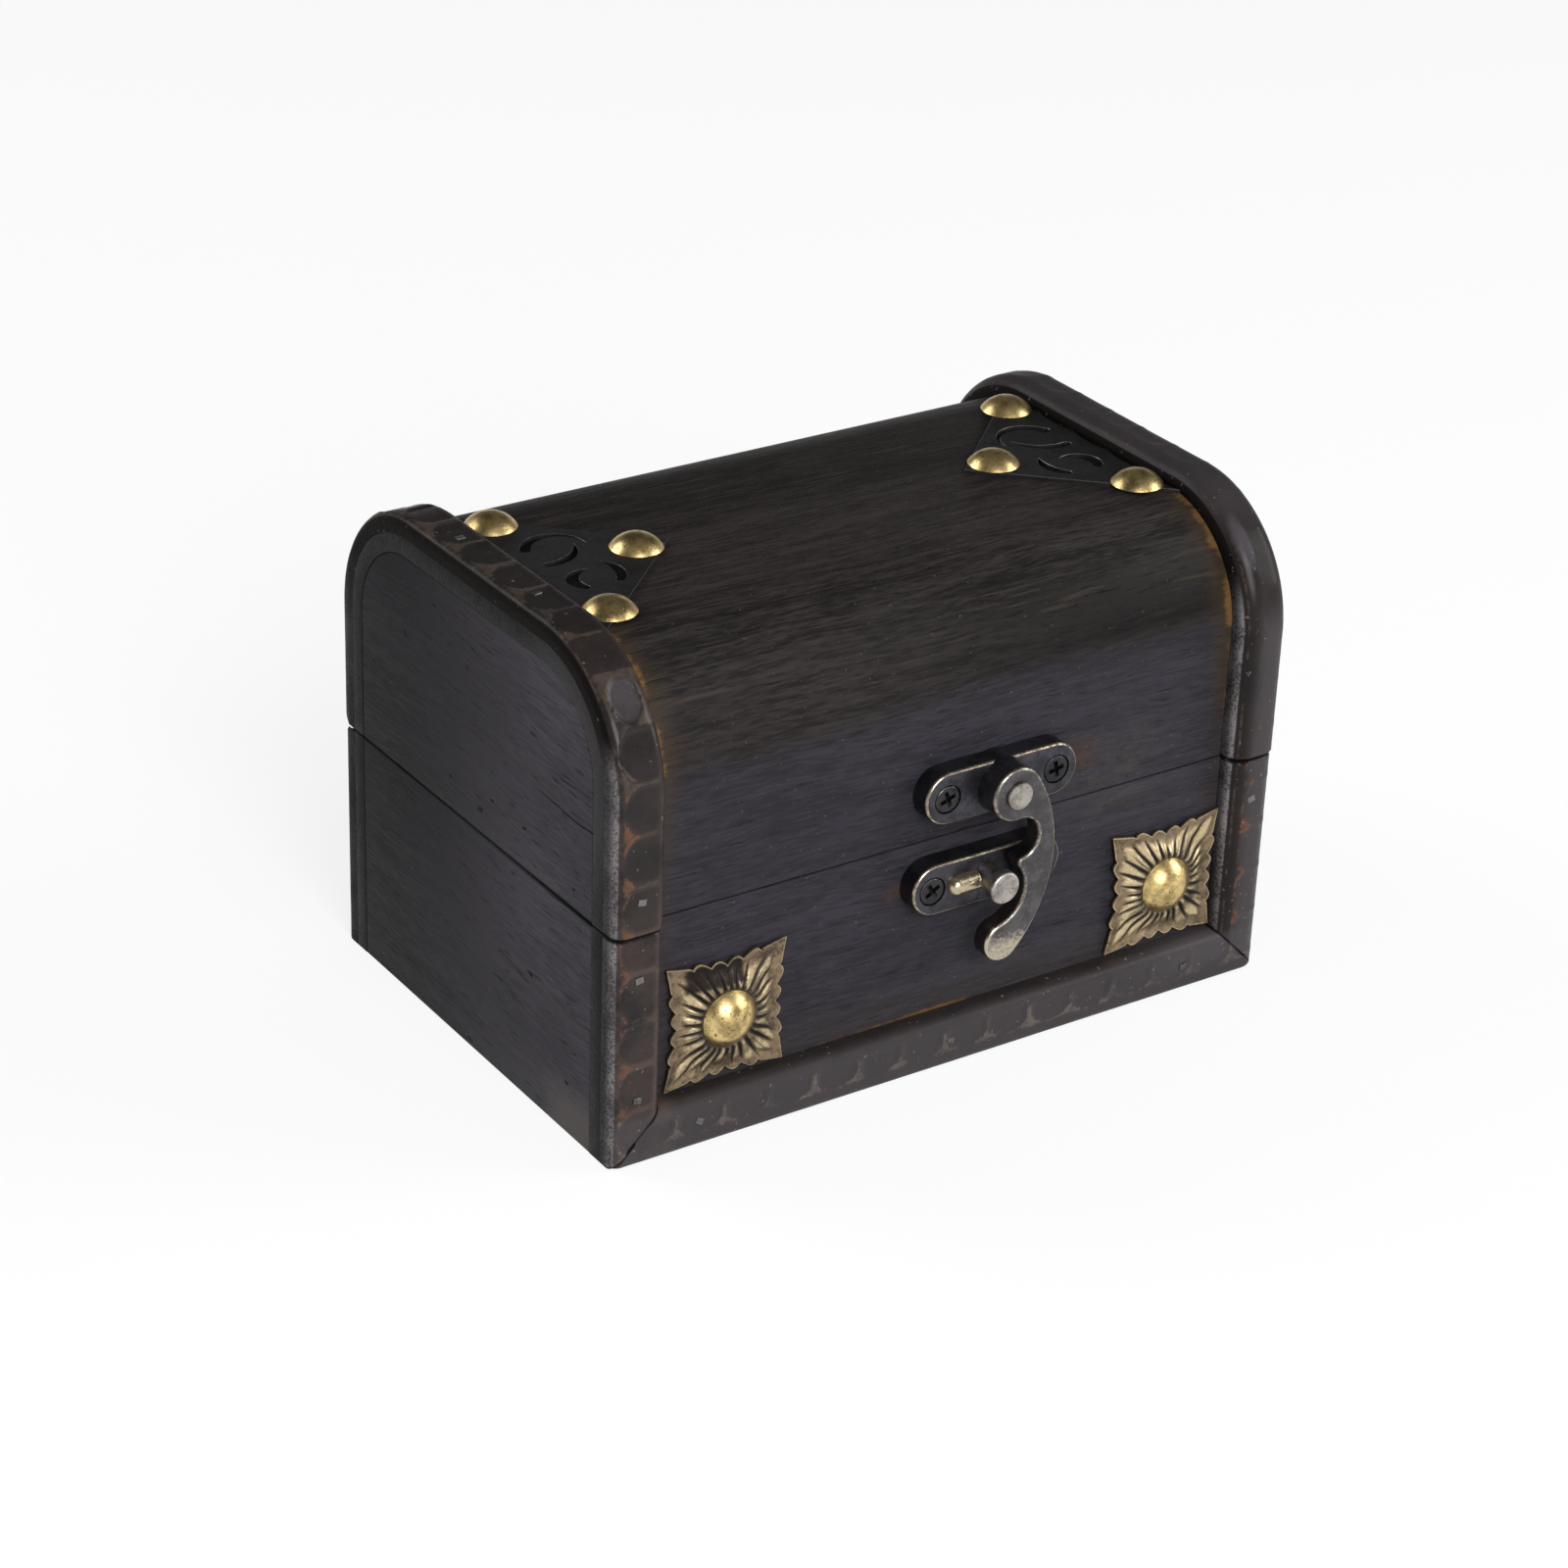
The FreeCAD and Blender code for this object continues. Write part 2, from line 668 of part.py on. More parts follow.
def comma(shares, mirror):
    depth = size("scroll_plate_depth")
    half = size("scroll_plate_half_length")
    spots = {name: flat(u * depth, mirror * v * half) for name, (u, v) in shares.items()}
    return [
        arc_through(spots["tail"], spots["back"], spots["head"]),
        arc_through(spots["head"], spots["lip"], spots["chin"]),
        arc_through(spots["chin"], spots["belly"], spots["tail"]),
    ]


def scroll_outline(mirror):
    depth = size("scroll_plate_depth")
    half = size("scroll_plate_half_length")
    rise = size("scroll_scallop_rise")
    apex = flat(depth, 0)
    stops = [flat(0, half - 2 * half * step / SCROLL_SCALLOPS) for step in range(SCROLL_SCALLOPS + 1)]
    curves = [
        arc_through(start, (start + end) / 2 + flat(rise, 0), end) for start, end in zip(stops, stops[1:])
    ]
    curves += [Part.LineSegment(stops[-1], apex), Part.LineSegment(apex, stops[0])]
    for shares in SCROLL_COMMA_SHARES.values():
        curves += comma(shares, mirror)
    return curves


def make_scroll_plates():
    holes = []
    for side, sign in SIDES.items():
        body = new_body(f"{side}_scroll_plate")
        # The right plate is the left one's mirror image, with both large curls towards the back.
        mirror, turn = (1, UP) if side == "left" else (-1, HALF_TURN)
        pad(body, "XY_Plane", scroll_outline(mirror), "scroll_plate_thickness")
        put(body, (f"{sign}scroll_edge", "0", "shell_top"), turn)
        tacks = []
        side_holes = []
        places = {
            "front": ("scroll_tack_inset", "-scroll_tack_spread / 2"),
            "back": ("scroll_tack_inset", "scroll_tack_spread / 2"),
            "inner": ("scroll_tack_reach", "0"),
        }
        for place, (reach, y) in places.items():
            seat = (f"{sign}(scroll_edge - {reach})", y, "scroll_top")
            tack, hole = make_tack(f"{side}_{place}_tack", "crown_tack", UP, seat)
            tacks.append(tack)
            side_holes.append(hole)
        node(f"{side}_scroll_plate", cut(f"{side}_scroll_plate_cut", body, side_holes))
        node(f"{side}_scroll_plate_tacks", group(f"{side}_scroll_tacks", tacks))
        holes += side_holes
    return holes


# Hinges: three knuckles each, the outer two on the box leaf, the middle one on the lid leaf

def make_hinge(side, sign):
    middle = f"{sign}hinge_spread / 2"
    start = f"({middle} - hinge_width / 2)"
    axis_y = "hinge_axis_depth"
    axis_z = "hinge_axis_height"
    step = "(knuckle_length + knuckle_gap)"
    bore = rod(f"{side}_hinge_bore", "hinge_pin_radius + running_clearance", "hinge_width",
               (start, axis_y, axis_z), ALONG_X)
    pin = rod(f"{side}_hinge_pin_rod", "hinge_pin_radius", "hinge_width", (start, axis_y, axis_z), ALONG_X)
    heads = [
        rod(f"{side}_hinge_pin_head_{end}", "hinge_pin_head_radius", "hinge_pin_head_rise", (x, axis_y, axis_z),
            ALONG_X)
        for end, x in (("inner", f"{start} - hinge_pin_head_rise"), ("outer", f"{start} + hinge_width"))
    ]
    node(f"{side}_hinge_pin", fuse(f"{side}_hinge_pin_pieces", [pin] + heads))
    knuckles = []
    sweeps = []
    for index in range(3):
        x = f"{start} + {index} * {step}"
        name = f"{side}_knuckle_{index}"
        knuckles.append(rod(name, "knuckle_radius", "knuckle_length", (x, axis_y, axis_z), ALONG_X))
        sweeps.append(rod(name + "_sweep", "knuckle_radius + knuckle_gap", "knuckle_length + 2 * knuckle_gap",
                          (f"{x} - knuckle_gap", axis_y, axis_z), ALONG_X))
    screws = {"box": [], "lid": []}
    holes = {"box": [], "lid": []}
    owned = {"box": (0, 2), "lid": (1,)}
    foot = {"box": f"{axis_z} - hinge_leaf_height", "lid": axis_z}
    screw_z = {"box": f"{axis_z} - hinge_screw_rise", "lid": f"{axis_z} + hinge_screw_rise"}
    for owner in ("box", "lid"):
        name = f"{side}_hinge_{owner}_leaf"
        leaf = block(name + "_sheet", "hinge_width", "hinge_leaf_thickness", "hinge_leaf_height",
                     (start, "shell_half_depth", foot[owner]))
        cleared = cut(name + "_cleared", leaf, [sweeps[i] for i in range(3) if i not in owned[owner]])
        for place in ("-", "+"):
            seat = (f"{middle} {place} hinge_screw_spread / 2", "shell_half_depth + hinge_leaf_thickness",
                    screw_z[owner])
            screw_name = f"{side}_{owner}_hinge_screw_{len(screws[owner])}"
            head = rod(screw_name + "_head", "hinge_screw_head_radius", "hinge_screw_head_rise", seat, BACK)
            shank = rod(screw_name + "_shank", "hinge_screw_shank_radius", "hinge_screw_length",
                        inward(BACK, seat, "hinge_screw_length"), BACK)
            screws[owner].append(fuse(screw_name, [head, shank]))
            holes[owner].append(shank_hole(screw_name + "_hole", BACK, seat, "hinge_screw_shank_radius",
                                           "hinge_screw_length"))
        rolled = fuse(name + "_rolled", [cleared] + [knuckles[i] for i in owned[owner]])
        node(name, cut(name + "_cut", rolled, [bore] + holes[owner]))
    return screws, holes


def make_hinges():
    screws = {"box": [], "lid": []}
    holes = {"box": [], "lid": []}
    for side, sign in SIDES.items():
        made, drilled = make_hinge(side, sign)
        for owner in screws:
            screws[owner] += made[owner]
            holes[owner] += drilled[owner]
    for owner in screws:
        node(f"hinge_{owner}_screws", group(f"{owner}_hinge_screws", screws[owner]))
    return holes


# Edge strips

def make_corner_trim(row, side, brad_holes):
    name = f"{row}_{side}_corner_trim"
    width = size("box_trim_width")
    thickness = size("box_trim_thickness")
    turned = row == "back"
    mitre_on_right = (side == "left") != turned
    body = new_body(name)
    pad(body, "XY_Plane", strip_section(width, thickness, size("trim_round")), "seam_height")
    over = size("cut_overrun")
    low, high = (0, width) if mitre_on_right else (width, 0)
    far = high + math.copysign(over, high - low)
    near = low - math.copysign(over, high - low)
    mitre = [flat(near, -over), flat(far, width + over), flat(far, -over)]
    pocket_through(body, "XZ_Plane", polygon(mitre))
    if turned:
        wedge = relief_outline(-size("axis_stand_off"), size("hinge_axis_height"), -thickness, -1)
        pocket_through(body, "YZ_Plane", wedge)
    x = f"{SIDES[side]}half_width"
    if not mitre_on_right:
        x = f"{SIDES[side]}(half_width - box_trim_width)"
    y = "shell_half_depth" if turned else "-shell_half_depth"
    put(body, (x, y, "0"), HALF_TURN if turned else UP)
    node(name, cut(name + "_cut", body, [brad_holes]))


def make_base_trim(row, brad_holes):
    name = f"{row}_base_trim"
    width = size("box_trim_width")
    length = size("width")
    over = size("cut_overrun")
    body = new_body(name)
    pad(body, "YZ_Plane", strip_section(width, size("box_trim_thickness"), size("trim_round"), swap=True), "width")
    left = [flat(-over, -over), flat(-over, width + over), flat(width + over, width + over)]
    right = [flat(length - point.x, point.y) for point in left]
    pocket_through(body, "XZ_Plane", polygon(left) + polygon(right))
    if row == "front":
        put(body, ("-half_width", "-shell_half_depth", "0"))
    else:
        put(body, ("half_width", "shell_half_depth", "0"), HALF_TURN)
    node(name, cut(name + "_cut", body, [brad_holes]))


def make_lid_trim(side, brad_holes):
    name = f"lid_{side}_trim"
    outer_half = size("depth") / 2
    outer_top = size("height") - size("lid_base")
    outer_radius = size("shoulder_radius")
    outline = arch_band(outer_half, outer_top, outer_radius,
                        size("shell_half_depth"), size("shell_rise"), size("shell_radius"))
    body = new_body(name)
    base = pad(body, "YZ_Plane", outline, "lid_trim_width")
    spring = outer_top - outer_radius
    middle = size("lid_trim_thickness") / 2

    def outer_rim(edge):
        centre = edge.valueAt((edge.FirstParameter + edge.LastParameter) / 2)
        if edge.BoundBox.XLength > middle or centre.z < middle:
            return False
        beyond = flat(max(abs(centre.y) - (outer_half - outer_radius), 0), max(centre.z - spring, 0))
        return beyond.Length > outer_radius - middle

    fillet(body, base, "trim_round", outer_rim)
    wedge = relief_outline(size("hinge_axis_depth"), size("hinge_axis_height") - size("lid_base"), outer_half, 1)
    pocket_through(body, "YZ_Plane", wedge)
    x = "-half_width" if side == "left" else "half_width - lid_trim_width"
    put(body, (x, "0", "lid_base"))
    node(name, cut(name + "_cut", body, [brad_holes]))


# Boards

def make_boards(box_holes, lid_holes):
    wall = ("width", "skin_thickness", "seam_height")
    front = block("front_board", *wall, ("-half_width", "-shell_half_depth", "0"))
    back = block("back_board", *wall, ("-half_width", "inner_half_depth", "0"))
    node("front_panel", cut("front_panel_cut", front, box_holes["front"]))
    node("back_panel", cut("back_panel_cut", back, box_holes["back"]))
    node("bottom_panel", block("bottom_board", "width - 2 * end_thickness", "2 * inner_half_depth",
                               "bottom_thickness", ("-half_width + end_thickness", "-inner_half_depth", "0")))
    for side in SIDES:
        x = "-half_width" if side == "left" else "half_width - end_thickness"
        node(f"{side}_end_panel", cut(
            f"{side}_end_panel_cut",
            block(f"{side}_end_board", "end_thickness", "2 * inner_half_depth", "seam_height",
                  (x, "-inner_half_depth", "0")),
            [box_holes["brads"]]))
    skin = new_body("lid_skin")
    thickness = size("skin_thickness")
    half = size("shell_half_depth")
    rise = size("shell_rise")
    radius = size("shell_radius")
    pad(skin, "YZ_Plane", arch_band(half, rise, radius, half - thickness, rise - thickness, radius - thickness),
        "width")
    put(skin, ("-half_width", "0", "lid_base"))
    node("lid_skin", cut("lid_skin_cut", skin, lid_holes))
    gap = thickness + size("glue_gap")
    for side in SIDES:
        body = new_body(f"lid_{side}_end")
        outline = arch(half - gap, 0, rise - gap, radius - gap)
        outline.append(Part.LineSegment(flat(half - gap, 0), flat(gap - half, 0)))
        pad(body, "YZ_Plane", outline, "end_thickness")
        put(body, ("-half_width" if side == "left" else "half_width - end_thickness", "0", "lid_base"))
        node(f"lid_{side}_end", cut(f"lid_{side}_end_cut", body, [lid_holes[0]]))


def check_and_write():
    doc.recompute()
    for piece in doc.Objects:
        if "Invalid" in piece.State or "Error" in piece.State:
            raise RuntimeError(f"{piece.Label} did not compute: {piece.State}")
    for label, piece in nodes.items():
        if piece.Shape.isNull() or not piece.Shape.isValid() or not piece.Shape.Solids:
            raise RuntimeError(f"{label} has no valid solid")
    os.makedirs("parts", exist_ok=True)
    for label, piece in nodes.items():
        piece.Shape.exportStep(f"parts/{label}.step")
    print(f"{len(nodes)} nodes written")


def build():
    brad_holes = make_brads()
    for row in ("front", "back"):
        for side in SIDES:
            make_corner_trim(row, side, brad_holes["box"])
        make_base_trim(row, brad_holes["box"])
    for side in SIDES:
        make_lid_trim(side, brad_holes["lid"])
    rosette_holes = make_rosettes()
    scroll_holes = make_scroll_plates()
    latch_holes = make_latch()
    catch_holes = make_catch()
    make_hook()
    hinge_holes = make_hinges()
    make_boards(
        {
            "front": [brad_holes["box"], catch_holes] + rosette_holes,
            "back": [brad_holes["box"]] + hinge_holes["box"],
            "brads": brad_holes["box"],
        },
        [brad_holes["lid"], latch_holes] + scroll_holes + hinge_holes["lid"],
    )
    check_and_write()


build()
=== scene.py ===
import json
import math
import random

import bmesh
import bpy
from mathutils import Matrix, Vector, noise


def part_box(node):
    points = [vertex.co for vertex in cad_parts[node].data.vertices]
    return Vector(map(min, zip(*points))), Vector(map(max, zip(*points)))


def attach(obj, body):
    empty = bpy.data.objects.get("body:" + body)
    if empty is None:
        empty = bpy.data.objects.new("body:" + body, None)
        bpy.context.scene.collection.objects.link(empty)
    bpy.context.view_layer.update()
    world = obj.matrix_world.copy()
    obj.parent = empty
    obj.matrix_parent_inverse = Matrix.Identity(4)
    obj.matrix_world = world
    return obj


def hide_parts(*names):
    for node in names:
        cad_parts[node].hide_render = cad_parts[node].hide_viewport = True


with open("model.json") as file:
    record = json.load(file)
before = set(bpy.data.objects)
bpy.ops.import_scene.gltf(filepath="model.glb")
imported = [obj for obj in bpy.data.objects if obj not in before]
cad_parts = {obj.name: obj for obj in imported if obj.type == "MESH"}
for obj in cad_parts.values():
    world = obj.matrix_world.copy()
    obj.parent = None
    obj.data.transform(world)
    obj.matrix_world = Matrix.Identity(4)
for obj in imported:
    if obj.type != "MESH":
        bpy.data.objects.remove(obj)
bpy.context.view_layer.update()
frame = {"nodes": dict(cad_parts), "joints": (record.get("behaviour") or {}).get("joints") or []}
scene = bpy.context.scene
mm = 0.001
hingeLine = next(joint["pos_m"] for joint in frame["joints"] if joint["name"] == "lid_hinge")
faceForward = Matrix.Rotation(math.pi / 2, 4, "X")  # flat work turned to stand on the chest's front
faceBack = Matrix.Rotation(math.pi, 4, "Z") @ faceForward
print("frame loaded:", len(frame["nodes"]), "nodes")


# small node helpers, shared by every finish

class Value:
    # an output in a node tree, so that masks and colours can be written as sums
    def __init__(self, tree, socket):
        self.tree, self.socket = tree, socket

    def calc(self, operation, *others):
        return made(self.tree, "ShaderNodeMath", (self, *others), operation=operation)

    def __add__(self, other):
        return self.calc("ADD", other)

    def __sub__(self, other):
        return self.calc("SUBTRACT", other)

    def __rsub__(self, other):
        return made(self.tree, "ShaderNodeMath", (other, self), operation="SUBTRACT")

    def __mul__(self, other):
        return self.calc("MULTIPLY", other)

    def __truediv__(self, other):
        return self.calc("DIVIDE", other)

    def __pow__(self, other):
        return self.calc("POWER", other)

    def __abs__(self):
        return self.calc("ABSOLUTE")

    def orElse(self, other):
        # the larger of the two
        return self.calc("MAXIMUM", other)

    def span(self, low, high, start=0.0, end=1.0):
        # eases from start to end between low and high
        values = (self, low, high, start, end)
        return made(self.tree, "ShaderNodeMapRange", values, interpolation_type="SMOOTHSTEP")

    def ramp(self, zone):
        # a zone is in millimetres: from, to, and the values there where they aren't 0 and 1
        low, high, *ends = zone
        return self.span(low * mm, high * mm, *ends)

    def mixed(self, first, second):
        # a mask shares out two colours
        colours = [(*colour, 1.0) if isinstance(colour, tuple) else colour for colour in (first, second)]
        return made(self.tree, "ShaderNodeMix", {0: self, 6: colours[0], 7: colours[1]}, 2, data_type="RGBA")

    def laid(self, mask, coat):
        # a coat over a colour: its own colour, and how well it covers
        return (mask * coat[3]).mixed(self, coat[:3])

    def axes(self):
        parts = self.tree.nodes.new("ShaderNodeSeparateXYZ")
        feed(self.tree, parts.inputs[0], self)
        return [Value(self.tree, socket) for socket in parts.outputs]

    def cloud(self, scale, detail=3.0, rough=0.55):
        values = {"Vector": self, "Scale": scale, "Detail": detail, "Roughness": rough}
        return made(self.tree, "ShaderNodeTexNoise", values)

    def stretched(self, scale, turn=(0.0, 0.0, 0.0), shift=(0.0, 0.0, 0.0)):
        values = {"Vector": self, "Scale": scale, "Rotation": turn, "Location": shift}
        return made(self.tree, "ShaderNodeMapping", values)

    def raised(self, strength, distance):
        return made(self.tree, "ShaderNodeBump", {"Strength": strength, "Distance": distance, "Height": self})


def feed(tree, socket, value):
    if isinstance(value, Value):
        tree.links.new(value.socket, socket)
    else:
        socket.default_value = value


def feedAll(tree, sockets, values):
    for label, value in values.items():
        feed(tree, sockets[label], value)


def made(tree, kind, values, output=0, **settings):
    node = tree.nodes.new(kind)
    for name, setting in settings.items():
        setattr(node, name, setting)
    feedAll(tree, node.inputs, values if isinstance(values, dict) else dict(enumerate(values)))
    return Value(tree, node.outputs[output])


def carried(tree, name):
    return made(tree, "ShaderNodeAttribute", (), "Fac", attribute_name=name)


def newGroup(name, takes, gives):
    group = bpy.data.node_groups.new(name, "ShaderNodeTree")
    for label, kind in takes.items():
        group.interface.new_socket(label, in_out="INPUT", socket_type=kind)
    for label in gives:
        group.interface.new_socket(label, in_out="OUTPUT", socket_type="NodeSocketFloat")
    entry = group.nodes.new("NodeGroupInput").outputs
    return group, [Value(group, entry[label]) for label in takes], group.nodes.new("NodeGroupOutput").inputs


def placed(tree, group, **values):
    node = tree.nodes.new("ShaderNodeGroup")
    node.node_tree = group
    feedAll(tree, node.inputs, values)
    return {socket.name: Value(tree, socket) for socket in node.outputs}


def newFinish(name):
    finish = bpy.data.materials.new(name)
    finish.use_nodes = True
    return finish, finish.node_tree, made(finish.node_tree, "ShaderNodeTexCoord", (), "Object")


def finished(finish, values):
    feedAll(finish.node_tree, finish.node_tree.nodes["Principled BSDF"].inputs, values)
    return finish


# effects that several finishes use

def makeStainGrain():
    # the grain runs along X of the vector that comes in, and its lines wander a little
    group, (place,), gives = newGroup("stainGrain", {"Vector": "NodeSocketVector"},
                                      ("Grain", "Streak", "Pore", "Fleck", "Cloud"))
    wander = made(group, "ShaderNodeTexNoise", {"Vector": place, "Scale": 38.0, "Detail": 2.0}, "Color")
    shift = (0.0, 3.0 * mm, 3.0 * mm)
    line = made(group, "ShaderNodeVectorMath", (wander, shift, place), operation="MULTIPLY_ADD")
    streak = line.stretched((24, 430, 430)).cloud(1.0, 4.0, 0.6)
    fibre = line.stretched((120, 1900, 1900)).cloud(1.0, 3.0, 0.6)
    dash = line.stretched((330, 2700, 2700)).cloud(1.0, 1.0, 0.5)
    feedAll(group, gives, {
        "Grain": streak * 0.34 + fibre * 0.36 + dash * 0.30,
        "Streak": streak,
        "Pore": line.stretched((190, 2300, 2300)).cloud(1.0, 2.0, 0.5).span(0.61, 0.71),
        "Fleck": place.cloud(1900.0, 1.0, 0.5).span(0.735, 0.79),
        "Cloud": place.stretched((26, 60, 60)).cloud(1.0, 3.0, 0.6),
    })
    return group


def makeRubThrough():
    # breaks a plain mask up into the grains where stain has been rubbed away
    takes = {"Vector": "NodeSocketVector", "Edge": "NodeSocketFloat"}
    group, (place, edge), gives = newGroup("rubThrough", takes, ("Mask",))
    held = place.cloud(260.0, 4.0, 0.7) * 0.75 + place.cloud(1500.0, 2.0, 0.6) * 0.45
    feedAll(group, gives, {"Mask": (edge + held).span(1.02, 1.32)})
    return group


def makeAgedMetal():
    # tarnish clouds, pits and worn places of old plated metal
    takes = {"Vector": "NodeSocketVector", "Wear": "NodeSocketFloat"}
    group, (place, wear), gives = newGroup("agedMetal", takes, ("Tarnish", "Pit", "Shine", "Grit"))
    broad, fine = place.cloud(330.0, 4.0, 0.62), place.cloud(1500.0, 4.0, 0.65)
    feedAll(group, gives, {
        "Tarnish": (broad * 0.7 + fine * 0.35).span(0.44, 0.64),
        "Pit": place.cloud(2600.0, 1.0, 0.4).span(0.66, 0.74),
        "Shine": (wear + (fine - 0.5) * 0.9).span(0.32, 0.72),
        "Grit": fine,
    })
    return group


stainGrain = makeStainGrain()
rubThrough = makeRubThrough()
agedMetal = makeAgedMetal()


# finishes

boardLook = {
    # stains: the first colour lies in the depth of the grain, the second on its back
    "upright": ((0.0148, 0.0136, 0.0172), (0.0257, 0.0239, 0.0302)),
    # lit and shaded copies of the stain: painted shade in the bend, deeper painted shade on the bend's right,
    # and painted light on the shoulder, whose warmer brown is partly the wood's own
    "bend": ((0.0078, 0.0063, 0.0060), (0.0210, 0.0175, 0.0166)),
    "rightBendShade": ((0.0026, 0.0021, 0.0020), (0.0082, 0.0066, 0.0060)),
    "shoulder": ((0.0100, 0.0083, 0.0084), (0.0268, 0.0224, 0.0226)),
    "crown": ((0.0110, 0.0088, 0.0085), (0.0292, 0.0236, 0.0230)),
    "back": ((0.0061, 0.0050, 0.0047), (0.0173, 0.0142, 0.0131)),
    "endGrain": ((0.0040, 0.0037, 0.0042), (0.0240, 0.0220, 0.0236)),
    # coats
    "pore": (0.0030, 0.0028, 0.0030, 0.5), "pale": (0.110, 0.100, 0.095, 0.42),
    "amber": (0.130, 0.069, 0.024, 0.80), "tan": (0.046, 0.030, 0.016, 0.62),
    "fibre": (0.058, 0.042, 0.028, 0.30), "foot": (0.046, 0.038, 0.034, 0.30),
    "rust": (0.052, 0.025, 0.014, 1.0), "underPlateShade": (0.0016, 0.0015, 0.0016, 0.85),
    "rough": (0.44, 0.62), "specular": 0.085, "rubStrength": 0.76, "lift": 12.0 * mm,
    "bump": (0.36, 0.20 * mm), "stripEdge": 51.6 * mm, "plateTip": 26.9 * mm, "plateHalf": 22.3 * mm,
    # place along X, height, reach, strength and coat
    "stains": ((31.0, 41.0, 15.0, 0.55, "foot"), (23.4, 45.4, 5.6, 0.55, "rust"),
               (-9.6, 31.0, 3.0, 1.0, "rust")),
    "zones": {
        "top": (66.0, 72.0), "bend": (58.0, 65.0), "rightBendShade": (60.0, 65.0), "rightBendShadeSide": (-24.0, 34.0),
        "shoulder": (69.5, 75.5), "crown": (-25.0, -20.0), "back": (-2.0, 8.0), "fibre": (60.0, 72.0),
        "within": (54.5, 53.0), "glow": (6.5, 0.0), "rubSide": (-10.0, 10.0, 4.6 * mm, 3.5 * mm),
        "rubRise": (50.0, 62.0, 0.45, 1.0), "lidRise": (40.0, 58.0, 0.35, 1.0), "lidFront": (-14.0, -22.0),
        "front": (-34.0, -36.0), "low": (17.0, 9.0), "lowSide": (50.0, 45.0),
        "overBase": (9.9, 8.3, 0.0, 0.60), "dashFrom": (-30.0, -18.0), "dashTo": (12.0, 2.0),
        "walls": (30.0, 34.0), "plate": (74.0, 76.0), "sawnFront": (-12.0, -26.0), "sawnRise": (38.0, 54.0),
        "sawnEnd": (59.4, 59.7, 0.0, 0.85),
    },
}


def makeStainedBoard():
    look, zone = boardLook, boardLook["zones"]
    finish, tree, place = newFinish("stainedBoard")
    x, y, z = place.axes()
    outward = abs(x)
    grain = placed(tree, stainGrain, Vector=place)
    share = (grain["Cloud"] * 0.16 + grain["Grain"]).span(0.47, 0.69)
    colour = share.mixed(*look["upright"])
    broad = place.stretched((17, 30, 30)).cloud(1.0, 2.0)
    lifted = (broad - 0.5) * look["lift"] + z
    top = z.ramp(zone["top"])
    # the stain in bands up the arch: painted shade in the bend and more on its right, painted light on the
    # shoulder, and a top that is darker towards the back
    bands = {
        "bend": lifted.ramp(zone["bend"]),
        "rightBendShade": x.ramp(zone["rightBendShadeSide"]) * lifted.ramp(zone["rightBendShade"]),
        "shoulder": lifted.ramp(zone["shoulder"]),
        "crown": top * y.ramp(zone["crown"]),
        "back": top * y.ramp(zone["back"]),
    }
    for name, mask in bands.items():
        colour = mask.mixed(colour, share.mixed(*look[name]))
    colour = colour.laid(grain["Pore"], look["pore"])
    fine = place.stretched((70, 1300, 1300), shift=(2.0, 0.0, 5.0)).cloud(1.0, 3.0, 0.6)
    colour = colour.laid(fine.span(0.56, 0.70) * lifted.ramp(zone["fibre"]), look["fibre"])
    front = y.ramp(zone["front"])  # the outer face of the front
    # partly painted light: the front is lightened low down, where the base strip shades it, in a browner tint
    # the wood has there
    colour = colour.laid(front * z.ramp(zone["low"]) * outward.ramp(zone["lowSide"]), look["foot"])
    # stain rubbed through beside the lid's strips, widest at the left, and here and there over the base strip
    beside = look["stripEdge"] - outward
    within = outward.ramp(zone["within"])
    lidPart = abs(y).ramp(zone["walls"]).orElse(top) * z.ramp(zone["lidRise"]) * y.ramp(zone["lidFront"])
    colour = colour.laid(within * beside.ramp(zone["glow"]) ** 1.6 * lidPart, look["tan"])
    uneven = place.stretched((1, 150, 150)).cloud(1.0, 2.0).span(0.34, 0.62, 0.45, 1.0)
    reach = x.ramp(zone["rubSide"]) * z.ramp(zone["rubRise"])
    rub = within * uneven * beside.span(reach, 0.0) * lidPart * look["rubStrength"]
    overBase = front * z.ramp(zone["overBase"]) * x.ramp(zone["dashFrom"]) * x.ramp(zone["dashTo"])
    dashes = place.stretched((0.4, 1.0, 1.0))
    rubbed = placed(tree, rubThrough, Vector=dashes, Edge=rub.orElse(overBase))["Mask"]
    colour = colour.laid(rubbed, look["amber"])
    # what the latch plates and hands have left on the wood beside them
    blotch = place.stretched((260, 420, 420)).cloud(1.0, 4.0, 0.7).span(0.36, 0.66)
    for spotX, spotZ, size, strength, hue in look["stains"]:
        away = ((x - spotX * mm) ** 2.0 + (z - spotZ * mm) ** 2.0 * 1.4) ** 0.5
        colour = (front * away.ramp((size, 0.0)) * blotch * strength).mixed(colour, look[hue][:3])
    colour = colour.laid(grain["Fleck"], look["pale"])
    # painted shade on the wood under the pierced plates, seen through their holes
    slope, inset = abs(y) / look["plateHalf"], beside / (look["stripEdge"] - look["plateTip"])
    colour = colour.laid((slope + inset).span(0.99, 0.96) * z.ramp(zone["plate"]), look["underPlateShade"])
    lighter = y.ramp(zone["sawnFront"]) * z.ramp(zone["sawnRise"])
    colour = outward.ramp(zone["sawnEnd"]).mixed(colour, lighter.mixed(*look["endGrain"]))
    return finished(finish, {
        "Base Color": colour,
        "Roughness": grain["Grain"].span(0.38, 0.66, *look["rough"]),
        "Specular IOR Level": look["specular"],
        "Normal": (grain["Grain"] * 1.6 - grain["Pore"]).raised(*look["bump"]),
    })


